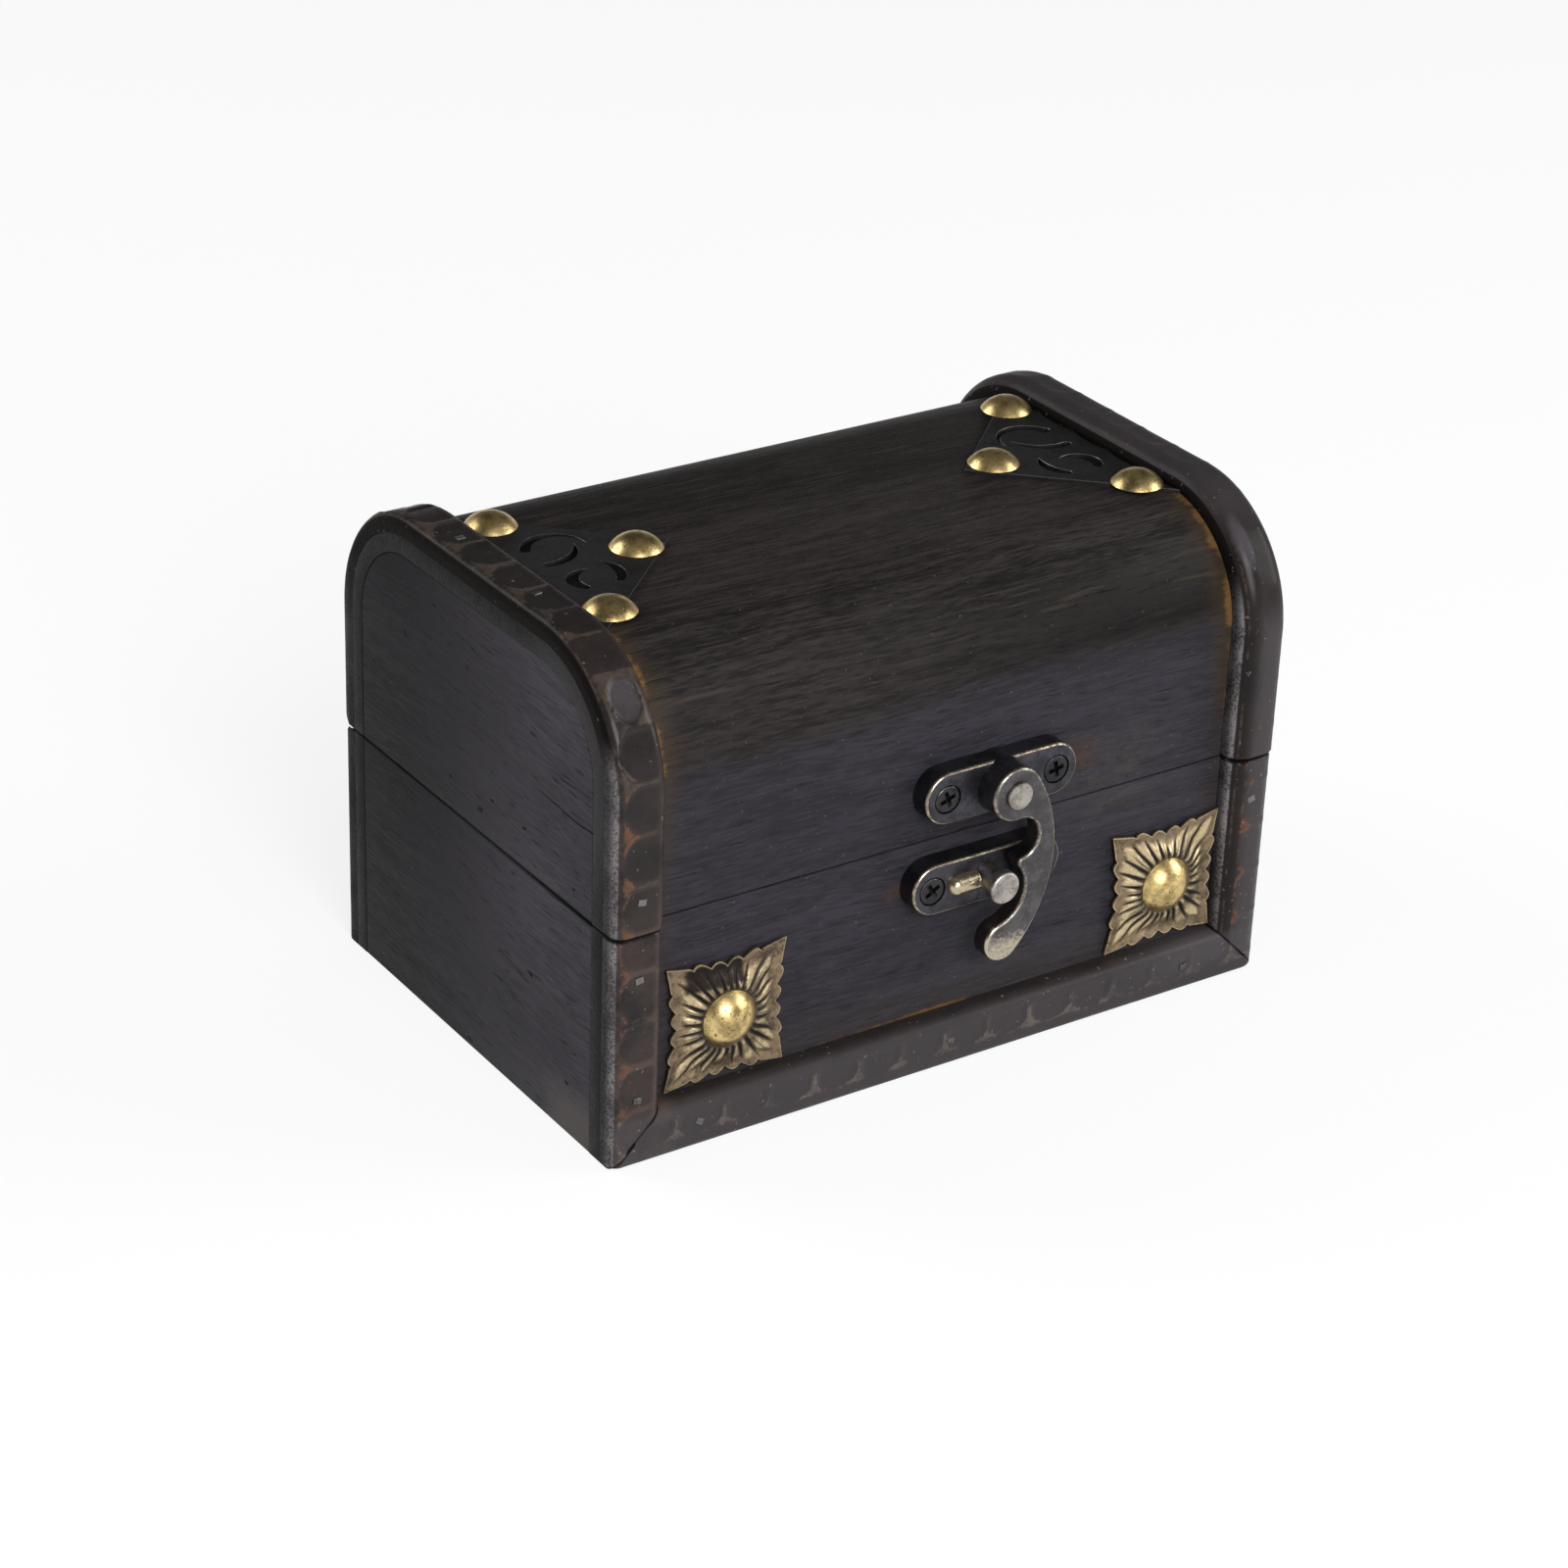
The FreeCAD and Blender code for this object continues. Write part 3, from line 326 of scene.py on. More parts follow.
endLook = {
    # painted light and shade: the back pair is the end's stain shaded, the front pair the same stain lit
    "back": ((0.0041, 0.0036, 0.0049), (0.0111, 0.0099, 0.0128)),
    "front": ((0.0300, 0.0276, 0.0330), (0.0560, 0.0518, 0.0610)),
    "brown": (0.0185, 0.0150, 0.0135, 0.25), "pale": (0.110, 0.100, 0.092, 0.60),
    "scuff": (0.082, 0.074, 0.068, 1.0), "crack": (0.0016, 0.0015, 0.0016, 1.0),
    "pore": (0.0016, 0.0015, 0.0016, 0.6), "seamShade": (0.0016, 0.0015, 0.0016, 0.9),
    "rough": (0.48, 0.68), "specular": 0.06, "bump": (0.45, 0.22 * mm),
    "seam": 38.15 * mm, "drift": 16.0 * mm, "wander": 1.5 * mm,
    # drying cracks that run with the grain: end face, from, to, height, slope, half width
    "cracks": ((-60.0, -36.2, -15.0, 52.6, 0.018, 0.22), (-60.0, -33.9, -18.5, 57.8, -0.020, 0.12),
               (60.0, -22.0, 8.0, 20.5, 0.012, 0.14), (60.0, 6.0, 30.0, 55.0, -0.015, 0.16)),
    "zones": {
        "handledAndFrontLit": (36.0, -20.0), "crackFace": (2.0, 0.6), "scuffRise": (10.5, 4.0),
        "scuffSide": (-18.0, -27.0), "seam": (0.75, 0.25), "seamFront": (10.0, -34.0, 0.25, 1.0),
    },
}


def makeStainedEnd():
    look, zone = endLook, endLook["zones"]
    finish, tree, place = newFinish("stainedEndBoard")
    x, y, z = place.axes()
    turned = place.stretched((1.0, 1.0, 1.0), (0.0, 0.0, -math.pi / 2), (0.31, 0.17, 0.0))
    grain = placed(tree, stainGrain, Vector=turned)
    mottle = (grain["Cloud"] * 0.45 + grain["Grain"]).span(0.58, 0.86)
    # painted light: the end is lighter towards the front, as if lit from there, and darker towards the back
    handledAndFrontLit = (grain["Cloud"] * look["drift"] + y).ramp(zone["handledAndFrontLit"])
    colour = handledAndFrontLit.mixed(mottle.mixed(*look["back"]), mottle.mixed(*look["front"]))
    colour = colour.laid(grain["Streak"].span(0.50, 0.66), look["brown"])
    colour = colour.laid(grain["Pore"], look["pore"])
    wander = (place.cloud(190.0, 3.0) - 0.5) * look["wander"]
    split = 0.0
    for face, start, end, level, slope, half in look["cracks"]:
        line = (y - start * mm) * slope + level * mm
        taper = y.ramp((start - 0.5, start + 1.0)) * y.ramp((end, end - 9.0))
        near = abs(x - face * mm).ramp(zone["crackFace"])
        split = (abs(z + wander - line).ramp((half, half * 0.35)) * taper * near).orElse(split)
    colour = colour.laid(split, look["crack"])
    scuffed = grain["Cloud"].span(0.35, 0.60, 0.35, 0.75)
    colour = colour.laid(z.ramp(zone["scuffRise"]) * y.ramp(zone["scuffSide"]) * scuffed, look["scuff"])
    # painted shade along the seam's edges, darkest in front
    shadedSeam = y.ramp(zone["seamFront"]) * abs(z - look["seam"]).ramp(zone["seam"])
    colour = colour.laid(shadedSeam, look["seamShade"])
    chips = turned.stretched((220, 520, 520), shift=(3.0, 1.0, 0.0)).cloud(1.0, 1.0).span(0.765, 0.79)
    colour = colour.laid(chips, look["crack"])
    colour = colour.laid(grain["Fleck"], look["pale"])
    return finished(finish, {
        "Base Color": colour,
        "Roughness": grain["Grain"].span(0.36, 0.66, *look["rough"]),
        "Specular IOR Level": look["specular"],
        "Normal": (grain["Grain"] * 1.6 - (split * 4.0 + chips * 2.0)).raised(*look["bump"]),
    })


stripLook = {
    "dark": (0.0132, 0.0110, 0.0110), "stain": (0.0205, 0.0160, 0.0146),
    "dent": (0.0132, 0.0110, 0.0110, 0.65), "brown": (0.0500, 0.0345, 0.0300, 1.0),
    "sheen": (0.050, 0.044, 0.048, 1.0), "ridge": (0.054, 0.040, 0.032, 0.80),
    "corner": (0.054, 0.040, 0.032, 0.75), "chalk": (0.122, 0.098, 0.076, 0.90),
    "patch": (0.100, 0.042, 0.022, 0.80), "sanded": (0.195, 0.182, 0.187, 1.0),
    "dustAndSheen": (0.048, 0.043, 0.047, 1.0), "umber": (0.0052, 0.0042, 0.0036, 1.0),
    "speck": (0.0040, 0.0036, 0.0036, 0.55),
    "seamShadeAndMitreDirt": (0.0040, 0.0036, 0.0036, 0.92), "pale": (0.190, 0.172, 0.158, 0.45),
    "rough": (0.30, 0.48), "specular": 0.03, "coat": (0.24, 0.17), "coatRough": 0.26,
    "bump": (0.26, 0.18 * mm), "seam": 38.15 * mm, "mitre": 60.0 * mm,
    "spot": (53.9 * mm, 72.9 * mm, 1.3 * mm, 3.5 * mm),  # middle and half sizes
    "zones": {
        "upright": (68.0, 58.0), "leftSide": (-48.0, -51.0), "brown": (46.0, 36.0, 0.35, 0.95),
        "ovalFrom": (68.5, 70.5), "ovalTo": (77.5, 75.5), "ovalSide": (0.0, -50.0), "front": (0.0, -20.0),
        "rightSide": (30.0, 50.0), "runs": (66.0, 59.0), "crownSheen": (71.5, 79.0, 0.0, 0.45),
        "belowCrown": (76.0, 70.0), "base": (8.8, 8.0), "overBase": (7.8, 8.6, 0.15, 1.0),
        "baseDust": (8.8, 7.0, 0.0, 0.54), "flankSide": (-10.0, 10.0, 0.0, 0.042), "sanded": (69.5, 60.5),
        "turn": (10.0, -10.0), "rightLow": (10.0, 26.0, 0.5, 1.0), "rear": (10.0, -10.0, 0.45, 1.0),
        "seam": (0.70, 0.28), "mitre": (0.42, 0.14), "mitreTop": (8.7, 8.3), "coatSide": (-52.0, 52.0),
        "dullCrown": (77.5, 74.0, 0.5, 1.0),
    },
    # shares of the way across: from, to and the values there
    "across": {
        "outer": (0.30, 0.56, 0.0, 0.72), "inner": (0.46, 0.28, 0.0, 0.45), "flank": (0.240, 0.212),
        "salt": (0.05, 0.19, 0.32, 1.05), "cornerFrom": (0.228, 0.244), "cornerTo": (0.276, 0.258),
    },
}


def makeEdgeStrip():
    # across runs 0 to 1 from the left or lower foot, over the face, to the other foot
    look, zone, shares = stripLook, stripLook["zones"], stripLook["across"]
    finish, tree, place = newFinish("edgeStrip")
    x, y, z = place.axes()
    dent, ridge, bare, across = (carried(tree, name) for name in ("dent", "ridge", "bare", "across"))
    broad, fine = place.cloud(130.0, 4.0, 0.6), place.cloud(900.0, 3.0, 0.65)
    grit = place.cloud(2300.0, 2.0, 0.6)
    colour = (fine * 0.4 + broad).span(0.52, 0.84).mixed(look["dark"], look["stain"])
    colour = colour.laid(dent, look["dent"])
    upright = z.ramp(zone["upright"])
    leftRuns = x.ramp(zone["leftSide"]) * upright * z.ramp(zone["brown"])
    colour = colour.laid(leftRuns * broad.span(0.27, 0.54) * dent.span(0.15, 0.95, 1.0, 0.42), look["brown"])
    # painted highlight: the oval dent on the left strip's front bend is lightened to a sheen
    front = y.ramp(zone["front"])
    oval = dent * z.ramp(zone["ovalFrom"]) * z.ramp(zone["ovalTo"]) * x.ramp(zone["ovalSide"]) * front
    colour = colour.laid(oval * broad.span(0.35, 0.65, 0.5, 0.95), look["sheen"])
    # the right strip is dusty on the outside of its runs, lightened with a painted sheen over the crown, and
    # darkened with painted shade towards the board
    rightStrip = x.ramp(zone["rightSide"])
    outer = across.span(*shares["outer"]) * z.ramp(zone["runs"])
    colour = colour.laid(rightStrip * outer.orElse(z.ramp(zone["crownSheen"])), look["dustAndSheen"])
    # painted shade on the right strip's inner round, towards the board
    inner = across.span(*shares["inner"]) * z.ramp(zone["belowCrown"])
    colour = colour.laid(rightStrip * inner, look["umber"])
    # a painted highlight: a sheen spot on its front bend
    midX, midZ, halfX, halfZ = look["spot"]
    spot = (((x - midX) / halfX) ** 2.0 + ((z - midZ) / halfZ) ** 2.0).span(1.4, 0.2)
    colour = colour.laid(spot * front * fine.span(0.3, 0.6, 0.75, 1.0), look["sheen"])
    ragged = (broad - 0.5) * 0.9 + (fine - 0.5)
    worn = (ragged * 1.3 + ridge * 0.95).span(0.55, 1.15)
    colour = colour.laid(worn, look["ridge"])
    colour = colour.laid(worn * z.ramp(zone["base"]) * broad.span(0.22, 0.44), look["chalk"])
    # red-brown wood shows in the spandrels between the dents' round ends
    bared = bare * upright * z.ramp(zone["overBase"])
    colour = colour.laid((ragged * 2.2 + bared).span(0.68, 1.12), look["patch"])
    colour = colour.laid(z.ramp(zone["baseDust"]), look["dustAndSheen"])
    # the left flank is umber, and its upright runs are sanded, less so low on the right and at the back
    flank = (across + x.ramp(zone["flankSide"])).span(*shares["flank"])
    colour = colour.laid(flank, look["umber"])
    salt = (broad * 0.50 + grit * 0.65).span(0.46, 0.68, 0.22, 1.0) * across.span(*shares["salt"])
    sparing = x.ramp(zone["turn"]).orElse(z.ramp(zone["rightLow"]))
    sanded = flank * z.ramp(zone["sanded"]) * salt * sparing * y.ramp(zone["rear"])
    colour = colour.laid(sanded, look["sanded"])
    colour = colour.laid(flank * grit.span(0.59, 0.67), look["speck"])
    corner = across.span(*shares["cornerFrom"]) * across.span(*shares["cornerTo"]) * ragged.span(-0.06, 0.22)
    colour = colour.laid(corner, look["corner"])
    # painted shade along the seam between lid and box, and dirt in the mitres of the front and back frame
    mitre = abs(abs(x) + z - look["mitre"]).ramp(zone["mitre"]) * z.ramp(zone["mitreTop"])
    colour = colour.laid(abs(z - look["seam"]).ramp(zone["seam"]).orElse(mitre), look["seamShadeAndMitreDirt"])
    colour = colour.laid(place.cloud(1300.0, 1.0).span(0.72, 0.78), look["pale"])
    bright, dull = look["rough"]
    polish = x.ramp((*zone["coatSide"], *look["coat"])) * z.ramp(zone["dullCrown"])
    return finished(finish, {
        "Base Color": colour,
        "Roughness": (fine - 0.5) * 0.25 + dent.span(0.0, 0.8, dull, bright) + flank * 0.10,
        "Specular IOR Level": look["specular"],
        "Coat Weight": (1.0 - flank) * polish,
        "Coat Roughness": look["coatRough"],
        "Normal": (fine * 0.8 + grit * (flank + 0.2)).raised(*look["bump"]),
    })


def makeMetal(name, look):
    # bright metal under a dark skin: wear is 0 where the skin is whole, or the name of a layer that says so
    finish, tree, place = newFinish(name)
    worn = carried(tree, look["wear"]) if isinstance(look["wear"], str) else look["wear"]
    if "handledAndFrontLit" in look:  # fingers have rubbed the low end bright
        worn = worn * place.axes()[2].ramp(look["handledAndFrontLit"])
    aged = placed(tree, agedMetal, Vector=place, Wear=worn)
    colour = (aged["Tarnish"] * look["tarnish"]).mixed(look["skin"], look["dark"])
    colour = aged["Shine"].mixed(colour, look["bright"])
    colour = (aged["Pit"] * look["pits"]).mixed(colour, look["dark"])
    if "grooves" in look:
        colour = (carried(tree, look["grooves"]) * 0.98).mixed(colour, look["dark"])
    bright, dull = look["rough"]
    return finished(finish, {
        "Base Color": colour,
        "Roughness": aged["Shine"].span(0.0, 1.0, dull, bright) + (aged["Grit"] - 0.5) * 0.22,
        "Metallic": look["metallic"],
        "Normal": (aged["Grit"] * 0.5 - aged["Pit"]).raised(look["bump"], 0.12 * mm),
    })


metalLooks = {
    "tackBrass": {
        "skin": (0.76, 0.565, 0.245), "dark": (0.1, 0.066, 0.026), "bright": (0.9, 0.73, 0.4),
        "tarnish": 0.7, "pits": 0.95, "rough": (0.2, 0.34), "metallic": 1.0, "bump": 0.26, "wear": 0.34,
    },
    "rosetteBrass": {
        "skin": (0.258, 0.192, 0.122), "dark": (0.022, 0.018, 0.017), "bright": (0.57, 0.455, 0.27),
        "tarnish": 0.7, "pits": 0.6, "rough": (0.34, 0.54), "metallic": 1.0, "bump": 0.35,
        "grooves": "groove", "wear": "wear",
    },
    "blackenedSheet": {
        "skin": (0.028, 0.026, 0.028), "dark": (0.016, 0.015, 0.017), "bright": (0.14, 0.13, 0.122),
        "tarnish": 0.8, "pits": 0.3, "rough": (0.36, 0.5), "metallic": 0.75, "bump": 0.22, "wear": "wear",
    },
    "latchBronze": {
        "skin": (0.068, 0.065, 0.077), "dark": (0.024, 0.023, 0.027), "bright": (0.5, 0.42, 0.29),
        "tarnish": 0.75, "pits": 0.35, "rough": (0.24, 0.4), "metallic": 0.95, "bump": 0.22, "wear": "wear",
    },
    "hookSteel": {
        "skin": (0.116, 0.108, 0.113), "dark": (0.042, 0.038, 0.038), "bright": (0.5, 0.44, 0.34),
        "tarnish": 0.6, "pits": 0.35, "rough": (0.24, 0.4), "metallic": 1.0, "bump": 0.2,
        "handledAndFrontLit": (25.5, 20.0, 1.0, 3.0), "wear": "wear",
    },
    "studSilver": {
        "skin": (0.42, 0.39, 0.35), "dark": (0.13, 0.12, 0.11), "bright": (0.7, 0.66, 0.58),
        "tarnish": 0.8, "pits": 0.8, "rough": (0.26, 0.42), "metallic": 1.0, "bump": 0.45, "wear": 0.3,
    },
    "blackenedScrew": {
        "skin": (0.042, 0.04, 0.043), "dark": (0.006, 0.0056, 0.006), "bright": (0.28, 0.26, 0.24),
        "tarnish": 0.45, "pits": 0.4, "rough": (0.32, 0.48), "metallic": 0.9, "bump": 0.25,
        "grooves": "groove", "wear": "wear",
    },
    "bradSteel": {
        "skin": (0.19, 0.185, 0.18), "dark": (0.05, 0.048, 0.046), "bright": (0.42, 0.41, 0.4),
        "tarnish": 0.7, "pits": 0.3, "rough": (0.28, 0.44), "metallic": 1.0, "bump": 0.2, "wear": 0.3,
    },
    "hingeBrass": {
        "skin": (0.3, 0.222, 0.1), "dark": (0.06, 0.044, 0.022), "bright": (0.52, 0.41, 0.21),
        "tarnish": 0.85, "pits": 0.5, "rough": (0.28, 0.46), "metallic": 1.0, "bump": 0.22, "wear": 0.18,
    },
}
stainedBoard = makeStainedBoard()
stainedEnd = makeStainedEnd()
edgeStrip = makeEdgeStrip()
metals = {name: makeMetal(name, look) for name, look in metalLooks.items()}
print("finishes made:", len(bpy.data.materials))


# mesh helpers

def keepPiece(bm, name, body, slotName, finish, *nodes, crease=math.radians(32)):
    bm.normal_update()
    for face in bm.faces:
        face.smooth = True
    for edge in bm.edges:
        edge.smooth = len(edge.link_faces) == 2 and edge.calc_face_angle(0.0) < crease
    mesh = bpy.data.meshes.new(name)
    bm.to_mesh(mesh)
    bm.free()
    piece = bpy.data.objects.new(name, mesh)
    scene.collection.objects.link(piece)
    mesh.materials.append(finish)
    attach(piece, body)
    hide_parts(*nodes)


def vertsOf(geom):
    return [item for item in geom if isinstance(item, bmesh.types.BMVert)]


def closeUp(bm):
    bmesh.ops.holes_fill(bm, edges=[edge for edge in bm.edges if edge.is_boundary], sides=0)
    bmesh.ops.recalc_face_normals(bm, faces=bm.faces[:])


def soften(bm, width, segments=2, sharper=math.radians(50), geom=None):
    edges = [edge for edge in (geom or bm.edges)
             if len(edge.link_faces) == 2 and edge.calc_face_angle(0.0) > sharper]
    bmesh.ops.bevel(bm, geom=edges, offset=width, offset_type="OFFSET", affect="EDGES", segments=segments,
                    profile=0.5, material=-1, clamp_overlap=True)


def spun(bm, geom, steps, turn=0.0, centre=(0.0, 0.0, 0.0), axis=(1.0, 0.0, 0.0), shift=(0.0, 0.0, 0.0)):
    return bmesh.ops.spin(bm, geom=geom, cent=centre, axis=axis, angle=turn, dvec=shift, steps=steps,
                          use_merge=False)["geom_last"]


def cutAway(bm, place, away):
    # cuts off what lies beyond a plane
    bmesh.ops.bisect_plane(bm, geom=bm.verts[:] + bm.edges[:] + bm.faces[:], dist=1e-7, plane_co=place,
                           plane_no=away, clear_outer=True)


def join(bm, part, place):
    bmesh.ops.transform(part, matrix=place, verts=part.verts[:])
    mesh = bpy.data.meshes.new("part")
    part.to_mesh(mesh)
    part.free()
    bm.from_mesh(mesh)
    bpy.data.meshes.remove(mesh)


def onFront(low, high):
    # stands flat work up, with its back on the back of a box at the chest's front
    return Matrix.Translation(((low.x + high.x) / 2, high.y, (low.z + high.z) / 2)) @ faceForward


def cadCopy(node):
    bm = bmesh.new()
    bm.from_mesh(frame["nodes"][node].data)
    bmesh.ops.remove_doubles(bm, verts=bm.verts[:], dist=2e-6)
    return bm


def loosePieces(node):
    # low and high corner of each separate solid in a CAD node
    bm = cadCopy(node)
    left, boxes = set(bm.verts), []
    while left:
        grow, found = [left.pop()], []
        while grow:
            vert = grow.pop()
            found.append(vert.co.copy())
            for edge in vert.link_edges:
                other = edge.other_vert(vert)
                if other in left:
                    left.remove(other)
                    grow.append(other)
        axes = list(zip(*found))
        boxes.append(tuple(Vector([pick(axis) for axis in axes]) for pick in (min, max)))
    bm.free()
    return sorted(boxes, key=lambda box: tuple(round(v, 5) for v in box[0]))


# boards

boardPieces = {
    "front_panel": stainedBoard, "back_panel": stainedBoard,
    "left_end_panel": stainedEnd, "right_end_panel": stainedEnd, "bottom_panel": stainedEnd,
}
boardShape = {"soft": 0.09 * mm, "endSoft": 0.22 * mm, "segments": 2}


def makeBoards():
    for node, finish in boardPieces.items():
        low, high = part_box(node)
        bm = bmesh.new()
        bmesh.ops.create_cube(bm, size=1.0)
        bmesh.ops.scale(bm, vec=high - low, verts=bm.verts[:])
        bmesh.ops.translate(bm, vec=(low + high) / 2, verts=bm.verts[:])
        soften(bm, boardShape["soft" if finish is stainedBoard else "endSoft"], boardShape["segments"])
        slotName = "stained_board" if finish is stainedBoard else "stained_end_board"
        keepPiece(bm, node + ".board", "box", slotName, finish, node)


lidShape = {
    "bend": 17.4 * mm, "legSteps": 6, "bendSteps": 40, "crownSteps": 8, "soft": 0.09 * mm,
    "lapGap": 0.05 * mm,
}


def sweptArch(bm, start, base, spring, flat, legSteps, bendSteps, crownSteps):
    rise = (spring - base) / legSteps
    last = spun(bm, start, legSteps, shift=(0, 0, rise))
    last = spun(bm, last, bendSteps, -math.pi / 2, (0, -flat, spring))
    last = spun(bm, last, crownSteps, shift=(0, 2 * flat / crownSteps, 0))
    last = spun(bm, last, bendSteps, -math.pi / 2, (0, flat, spring))
    return spun(bm, last, legSteps, shift=(0, 0, -rise))


def makeLidBoards():
    low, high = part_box("lid_skin")
    flat, spring = high.y - lidShape["bend"], high.z - lidShape["bend"]
    steps = [lidShape[key] for key in ("legSteps", "bendSteps", "crownSteps")]
    wall = low.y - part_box("lid_left_end")[0].y + lidShape["lapGap"]
    bm = bmesh.new()
    foot = [bm.verts.new(place) for place in ((low.x, low.y, low.z), (high.x, low.y, low.z),
                                              (high.x, low.y - wall, low.z), (low.x, low.y - wall, low.z))]
    rim = [bm.edges.new((foot[i], foot[(i + 1) % 4])) for i in range(4)]
    sweptArch(bm, foot + rim, low.z, spring, flat, *steps)
    closeUp(bm)
    soften(bm, lidShape["soft"], 3)
    keepPiece(bm, "lid_skin.board", "lid", "stained_board", stainedBoard, "lid_skin")
    for side in ("left", "right"):
        node = f"lid_{side}_end"
        low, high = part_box(node)
        bm = bmesh.new()
        first = bm.verts.new((low.x, low.y, low.z))
        last = sweptArch(bm, [first], low.z, spring, flat, *steps)
        bm.edges.new((first, vertsOf(last)[0]))
        face = bmesh.ops.edgeloop_fill(bm, edges=bm.edges[:])["faces"]
        drawn = bmesh.ops.extrude_face_region(bm, geom=face)["geom"]
        bmesh.ops.translate(bm, vec=(high.x - low.x, 0, 0), verts=vertsOf(drawn))
        bmesh.ops.recalc_face_normals(bm, faces=bm.faces[:])
        soften(bm, boardShape["endSoft"], 3)
        keepPiece(bm, node + ".board", "lid", "stained_end_board", stainedEnd, node)


makeBoards()
makeLidBoards()
print("boards made")


# edge strips, dented by gouge cuts that are round at one end and run out at the other

stripShape = {  # rounds of the low and the high edge
    "rounds": {"left": (1.9 * mm, 2.2 * mm), "right": (3.0 * mm, 2.7 * mm), "base": (1.2 * mm, 2.2 * mm)},
    "roundSteps": 8, "spacing": 0.42 * mm, "depth": 0.36 * mm, "wall": 0.60 * mm, "wobble": 0.06 * mm,
    "endSoft": 0.16 * mm, "seamRound": 0.65 * mm, "mitreGap": 0.04 * mm,
    # what chance may do from dent to dent
    "deep": (0.65, 1.1), "drift": (-0.25, 0.25), "narrow": (0.90, 0.97),
    "oval": {"middle": 0.50, "half": 0.29, "narrow": 0.84}, "uncut": {"dent": 0.10, "ridge": 0.30},
}
lidStrips = {  # plain cells were never cut, and oval cells are cut round at both ends
    "left": {"roundFrom": 0.13, "roundTo": 0.44, "fadeFrom": 0.70, "fadeTo": 0.93, "strength": 1.0,
             "ridges": (0.4, 8.4, 16.1, 24.2, 32.4, 40.9, 47.9, 55.5, 63.6, 72.7, 81.6, 89.8, 98.0, 106.3,
                        114.2, 122.4, 130.5),
             "plain": (40.9,), "oval": (32.4,)},
    "right": {"roundFrom": 0.36, "roundTo": 0.60, "fadeFrom": 0.82, "fadeTo": 0.99, "strength": 0.26,
              "ridges": (-3.0, 5.2, 13.1, 21.3, 29.0, 37.4, 45.4, 53.6, 61.5, 70.0, 78.2, 86.1, 94.4, 102.3,
                         110.6, 118.5, 126.8, 134.8),
              "plain": (29.0,), "oval": ()},
}
lidBend = 21.4 * mm
boxStripCuts = {
    "left": {"roundFrom": 0.12, "roundTo": 0.42, "fadeFrom": 0.72, "fadeTo": 0.95, "strength": 1.0},
    "right": {"roundFrom": 0.30, "roundTo": 0.56, "fadeFrom": 0.82, "fadeTo": 0.99, "strength": 0.8},
    "base": {"roundFrom": 0.31, "roundTo": 0.55, "fadeFrom": 0.66, "fadeTo": 0.86, "strength": 0.9},
}
reliefSlope = math.radians(52)  # lets the lid fall back behind the hinge line


def eased(value, low, high):
    share = max(0.0, min(1.0, (value - low) / (high - low)))
    return share * share * (3 - 2 * share)


def gougeAt(along, share, look, seed):
    # shares of a dent's depth, of a ridge and of bare wood at a place
    ridges = look["ridges"]
    cell = max(0, min(len(ridges) - 2, sum(along >= place * mm for place in ridges) - 1))
    start, end = ridges[cell] * mm, ridges[cell + 1] * mm
    pick = random.Random(seed * 1000 + cell)
    deep, drift, narrow = (pick.uniform(*stripShape[key]) for key in ("deep", "drift", "narrow"))
    aside = abs(along - (start + end) / 2 + drift * mm)
    turn = max(0.0, (look["roundTo"] - share) / (look["roundTo"] - look["roundFrom"]))
    fade = (1 - eased(share, look["fadeFrom"], look["fadeTo"])) * look["strength"]
    if ridges[cell] in look["oval"]:
        oval = stripShape["oval"]
        turn, narrow, fade = abs(share - oval["middle"]) / oval["half"], oval["narrow"], look["strength"]
    inside = (end - start) / 2 * narrow * math.sqrt(max(0.0, 1 - turn ** 2)) - aside
    dent = deep * eased(inside, 0.0, stripShape["wall"]) * fade
    ridge = (1 - eased(inside, -0.05 * mm, 0.28 * mm)) * fade
    ridge *= eased(share, look["roundFrom"] - 0.10, look["roundFrom"] + 0.02)
    bare = ridge * eased(look["roundTo"] - share, -0.05, 0.12)
    if ridges[cell] in look["plain"]:
        dent, ridge, bare = dent * stripShape["uncut"]["dent"], ridge * stripShape["uncut"]["ridge"], 0.0
    return dent, ridge, bare


def stripSection(bm, origin, sideways, outward, width, thick, rounds):
    far, rise = sideways * width, outward * thick
    corners = [bm.verts.new(place) for place in (origin, origin + rise, origin + rise + far, origin + far)]
    bm.faces.new(corners)
    for corner, radius in zip(corners[1:3], rounds):
        bmesh.ops.bevel(bm, geom=[corner], offset=radius, offset_type="OFFSET", affect="VERTICES",
                        segments=stripShape["roundSteps"], profile=0.5, material=-1)
    for edge in bm.edges[:]:
        middle = (edge.verts[0].co + edge.verts[1].co) / 2 - origin
        if middle.dot(outward) > 0.1 * mm and edge.calc_length() > 2 * stripShape["spacing"]:
            bmesh.ops.subdivide_edges(bm, edges=[edge], cuts=int(edge.calc_length() / stripShape["spacing"]))
    bmesh.ops.delete(bm, geom=bm.faces[:], context="FACES_ONLY")
    return bm.verts[:] + bm.edges[:]


